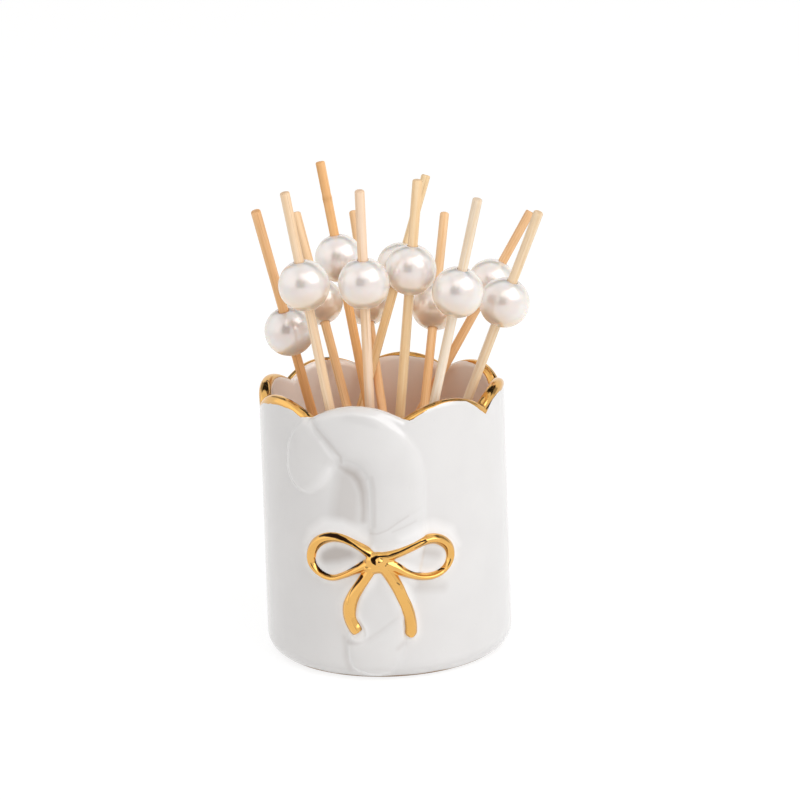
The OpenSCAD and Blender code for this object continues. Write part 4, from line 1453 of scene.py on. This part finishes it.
@dataclass
class Studio:
    """Camera, lamps, world and floor."""

    # Lens in millimetres, place in metres and turn in degrees, as fitted to the photograph.
    lens: float = 108.67
    place: tuple[float, float, float] = (0.0, -0.57366, 0.20438)
    turn: tuple[float, float, float] = (76.026, 1.873, -0.906)
    sensor: float = 36.0
    clip: tuple[float, float] = (0.02, 60.0)
    aim_h: float = 0.05
    lights: tuple[SoftLamp, ...] = (
        SoftLamp("key", (0.75, -0.55, 0.85), 0.95, 6.0, (0.99, 0.99, 1.0)),
        SoftLamp("front", (0.1, -0.8, 1.0), 0.8, 1.6, (1.0, 0.99, 0.98)),
        SoftLamp("fill", (-1.0, -0.5, 0.6), 0.8, 0.5, (1.0, 0.975, 0.94)))
    # Light of the world on matt surfaces, and its level in what gloss shows.
    sky: float = 0.58
    sky_tint: Colour = (1.0, 0.98, 0.962)
    gloss_level: float = 0.97
    patch_edge: tuple[float, float] = (0.6, 1.5)
    patch_power: float = 4.0
    floor_rings: tuple = (0.02, 0.2, 1.0, 4.0)
    floor_sides: int = 96
    floor_tones: tuple = ((0.90, 0.90, 0.90, 1), (0.92, 0.92, 0.92, 1))
    floor_glow: float = 1.15
    floor_glow_share: float = 0.75
    patches: tuple[StudioPatch, ...] = (
        StudioPatch(-80, 20, 38, 34, 1.3),
        StudioPatch(-15, 18, 20, 20, 0.10),
        StudioPatch(165, 52, 42, 11, 0.02),
        StudioPatch(-150, 30, 9, 14, 0.35),
        StudioPatch(120, 26, 8, 16, 0.35))

    def camera(self) -> None:
        """Stands the camera at the photograph's angle."""
        data = bpy.data.cameras.new("camera")
        data.lens, data.sensor_width = self.lens, self.sensor
        data.clip_start, data.clip_end = self.clip
        eye = bpy.data.objects.new("camera", data)
        eye.location = self.place
        eye.rotation_euler = Euler([math.radians(a) for a in self.turn], "XYZ")
        bpy.context.scene.collection.objects.link(eye)
        bpy.context.scene.camera = eye

    def lamps(self) -> None:
        """Key lamp from the upper right, one from above the camera, and a weak fill from the left."""
        for light in self.lights:
            data = bpy.data.lights.new(light.name, "AREA")
            data.size, data.energy, data.color = light.size, light.power, light.tint
            lamp = bpy.data.objects.new(light.name, data)
            lamp.location = light.place
            aim = Vector((0, 0, self.aim_h)) - Vector(light.place)
            lamp.rotation_euler = aim.to_track_quat("-Z", "Y").to_euler()
            bpy.context.scene.collection.objects.link(lamp)

    def _patch_mask(self, n: Nodes, way: bpy.types.NodeSocket, patch: StudioPatch) -> bpy.types.NodeSocket:
        """Where a patch is seen from the cup.

        Args:
            n: The world's nodes' helper.
            way: Direction of the ray.
            patch: The patch.

        Returns:
            Socket of a mask, 1 in the patch.
        """
        a, e = math.radians(patch.azimuth), math.radians(patch.elevation)
        ahead = (math.sin(a) * math.cos(e), -math.cos(a) * math.cos(e), math.sin(e))
        beside = (math.cos(a), math.sin(a), 0.0)
        above = tuple(Vector(beside).cross(Vector(ahead)))
        dots = []
        for axis in (ahead, beside, above):
            dot = n.feed(n.add("ShaderNodeVectorMath", operation="DOT_PRODUCT"), n0=way, n1=axis)
            dots.append(dot.outputs["Value"])
        off_w = n.math("DIVIDE", dots[1], math.sin(math.radians(patch.half_w)))
        off_h = n.math("DIVIDE", dots[2], math.sin(math.radians(patch.half_h)))
        powers = [n.math("POWER", n.math("ABSOLUTE", off), self.patch_power) for off in (off_w, off_h)]
        inside = n.span(n.math("ADD", *powers), *self.patch_edge, 1.0, 0.0)
        return n.math("MULTIPLY", inside, n.math("GREATER_THAN", dots[0], 0.0))

    def world(self) -> None:
        """Even studio light, white to the camera, with the dark gaps of a studio in what gloss shows."""
        world = bpy.data.worlds.new("studio")
        bpy.context.scene.world = world
        world.use_nodes = True
        n = Nodes(world.node_tree)
        background = world.node_tree.nodes["Background"]
        way = n.add("ShaderNodeTexCoord").outputs["Generated"]
        level = self.gloss_level
        for patch in self.patches:
            gap = n.math("SUBTRACT", patch.level, level)
            level = n.math("ADD", level, n.math("MULTIPLY", self._patch_mask(n, way, patch), gap))
        rays = n.add("ShaderNodeLightPath")
        seen = n.math("MAXIMUM", rays.outputs["Is Camera Ray"], rays.outputs["Is Transmission Ray"])
        gloss = rays.outputs["Is Glossy Ray"]
        plain = n.math("MULTIPLY", n.math("SUBTRACT", 1.0, n.math("MAXIMUM", seen, gloss)), self.sky)
        total = n.math("ADD", n.math("ADD", seen, plain), n.math("MULTIPLY", gloss, level))
        tint = n.blend(n.math("MAXIMUM", seen, gloss), (*self.sky_tint, 1), (1, 1, 1, 1))
        n.feed(background, Color=tint, Strength=total)

    def floor(self) -> bpy.types.Object:
        """A wide pale floor that keeps a soft shadow and is white to the camera elsewhere."""
        turns = np.linspace(0, 2 * math.pi, self.floor_sides + 1)[:-1]
        rings = self.floor_rings
        flat = np.zeros((len(rings), self.floor_sides))
        points = np.stack([np.outer(rings, np.cos(turns)), np.outer(rings, np.sin(turns)), flat], -1)
        points = points.reshape(-1, 3) / MM
        faces = grid_faces(len(rings), self.floor_sides) + [list(range(self.floor_sides))[::-1]]
        piece = make_piece("floor", points, faces)
        material = bpy.data.materials.new("Pale floor")
        material.use_nodes = True
        n = Nodes(material.node_tree)
        shader = material.node_tree.nodes["Principled BSDF"]
        tone = n.noise(n.add("ShaderNodeTexCoord").outputs["Object"], 3.0)
        n.feed(shader, Base_Color=n.blend(tone, *self.floor_tones), Roughness=0.8, Specular_IOR_Level=0.1)
        white = n.feed(n.add("ShaderNodeEmission"), Color=(1, 1, 1, 1), Strength=self.floor_glow)
        rays = n.add("ShaderNodeLightPath")
        seen = n.math("MAXIMUM", rays.outputs["Is Camera Ray"], rays.outputs["Is Glossy Ray"])
        share = n.math("MULTIPLY", seen, self.floor_glow_share)
        mixed = n.add("ShaderNodeMixShader")
        n.tree.links.new(share, mixed.inputs[0])
        n.tree.links.new(shader.outputs[0], mixed.inputs[1])
        n.tree.links.new(white.outputs[0], mixed.inputs[2])
        n.tree.links.new(mixed.outputs[0], material.node_tree.nodes["Material Output"].inputs["Surface"])
        piece.data.materials.append(material)
        return piece

    def build(self) -> None:
        """Sets up the whole studio."""
        bpy.context.scene.view_settings.view_transform = "Standard"
        self.camera()
        self.lamps()
        self.world()
        self.floor()


def main() -> None:
    """Builds the dressed cup and its studio, and reports each piece."""
    logging.basicConfig(level=logging.INFO, format="%(name)s: %(message)s")
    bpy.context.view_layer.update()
    effects = EffectGroups()
    glaze, lustre = GlazeFinish().build(effects), LustreFinish().build(effects)
    bamboos = (BambooFinish(Tone.TAN), BambooFinish(Tone.PALE, dark=0.93))
    woods = {finish.tone: finish.build(effects) for finish in bamboos}
    pearl = PearlFinish().build(effects)
    wall = WallForm()
    plan = BowPlan()
    cane = CaneRelief(wall, plan)
    body = CupBody(wall, cane)
    pieces = [body.dress(glaze), GoldRim(body).dress(lustre), GoldBow(wall, cane, plan).dress(lustre)]
    pieces += Picks(wall).dress(woods, pearl)
    for piece in pieces:
        LOG.info("%s: %d faces", piece.name, len(piece.data.polygons))
    Studio().build()


if __name__ == "__main__":
    main()
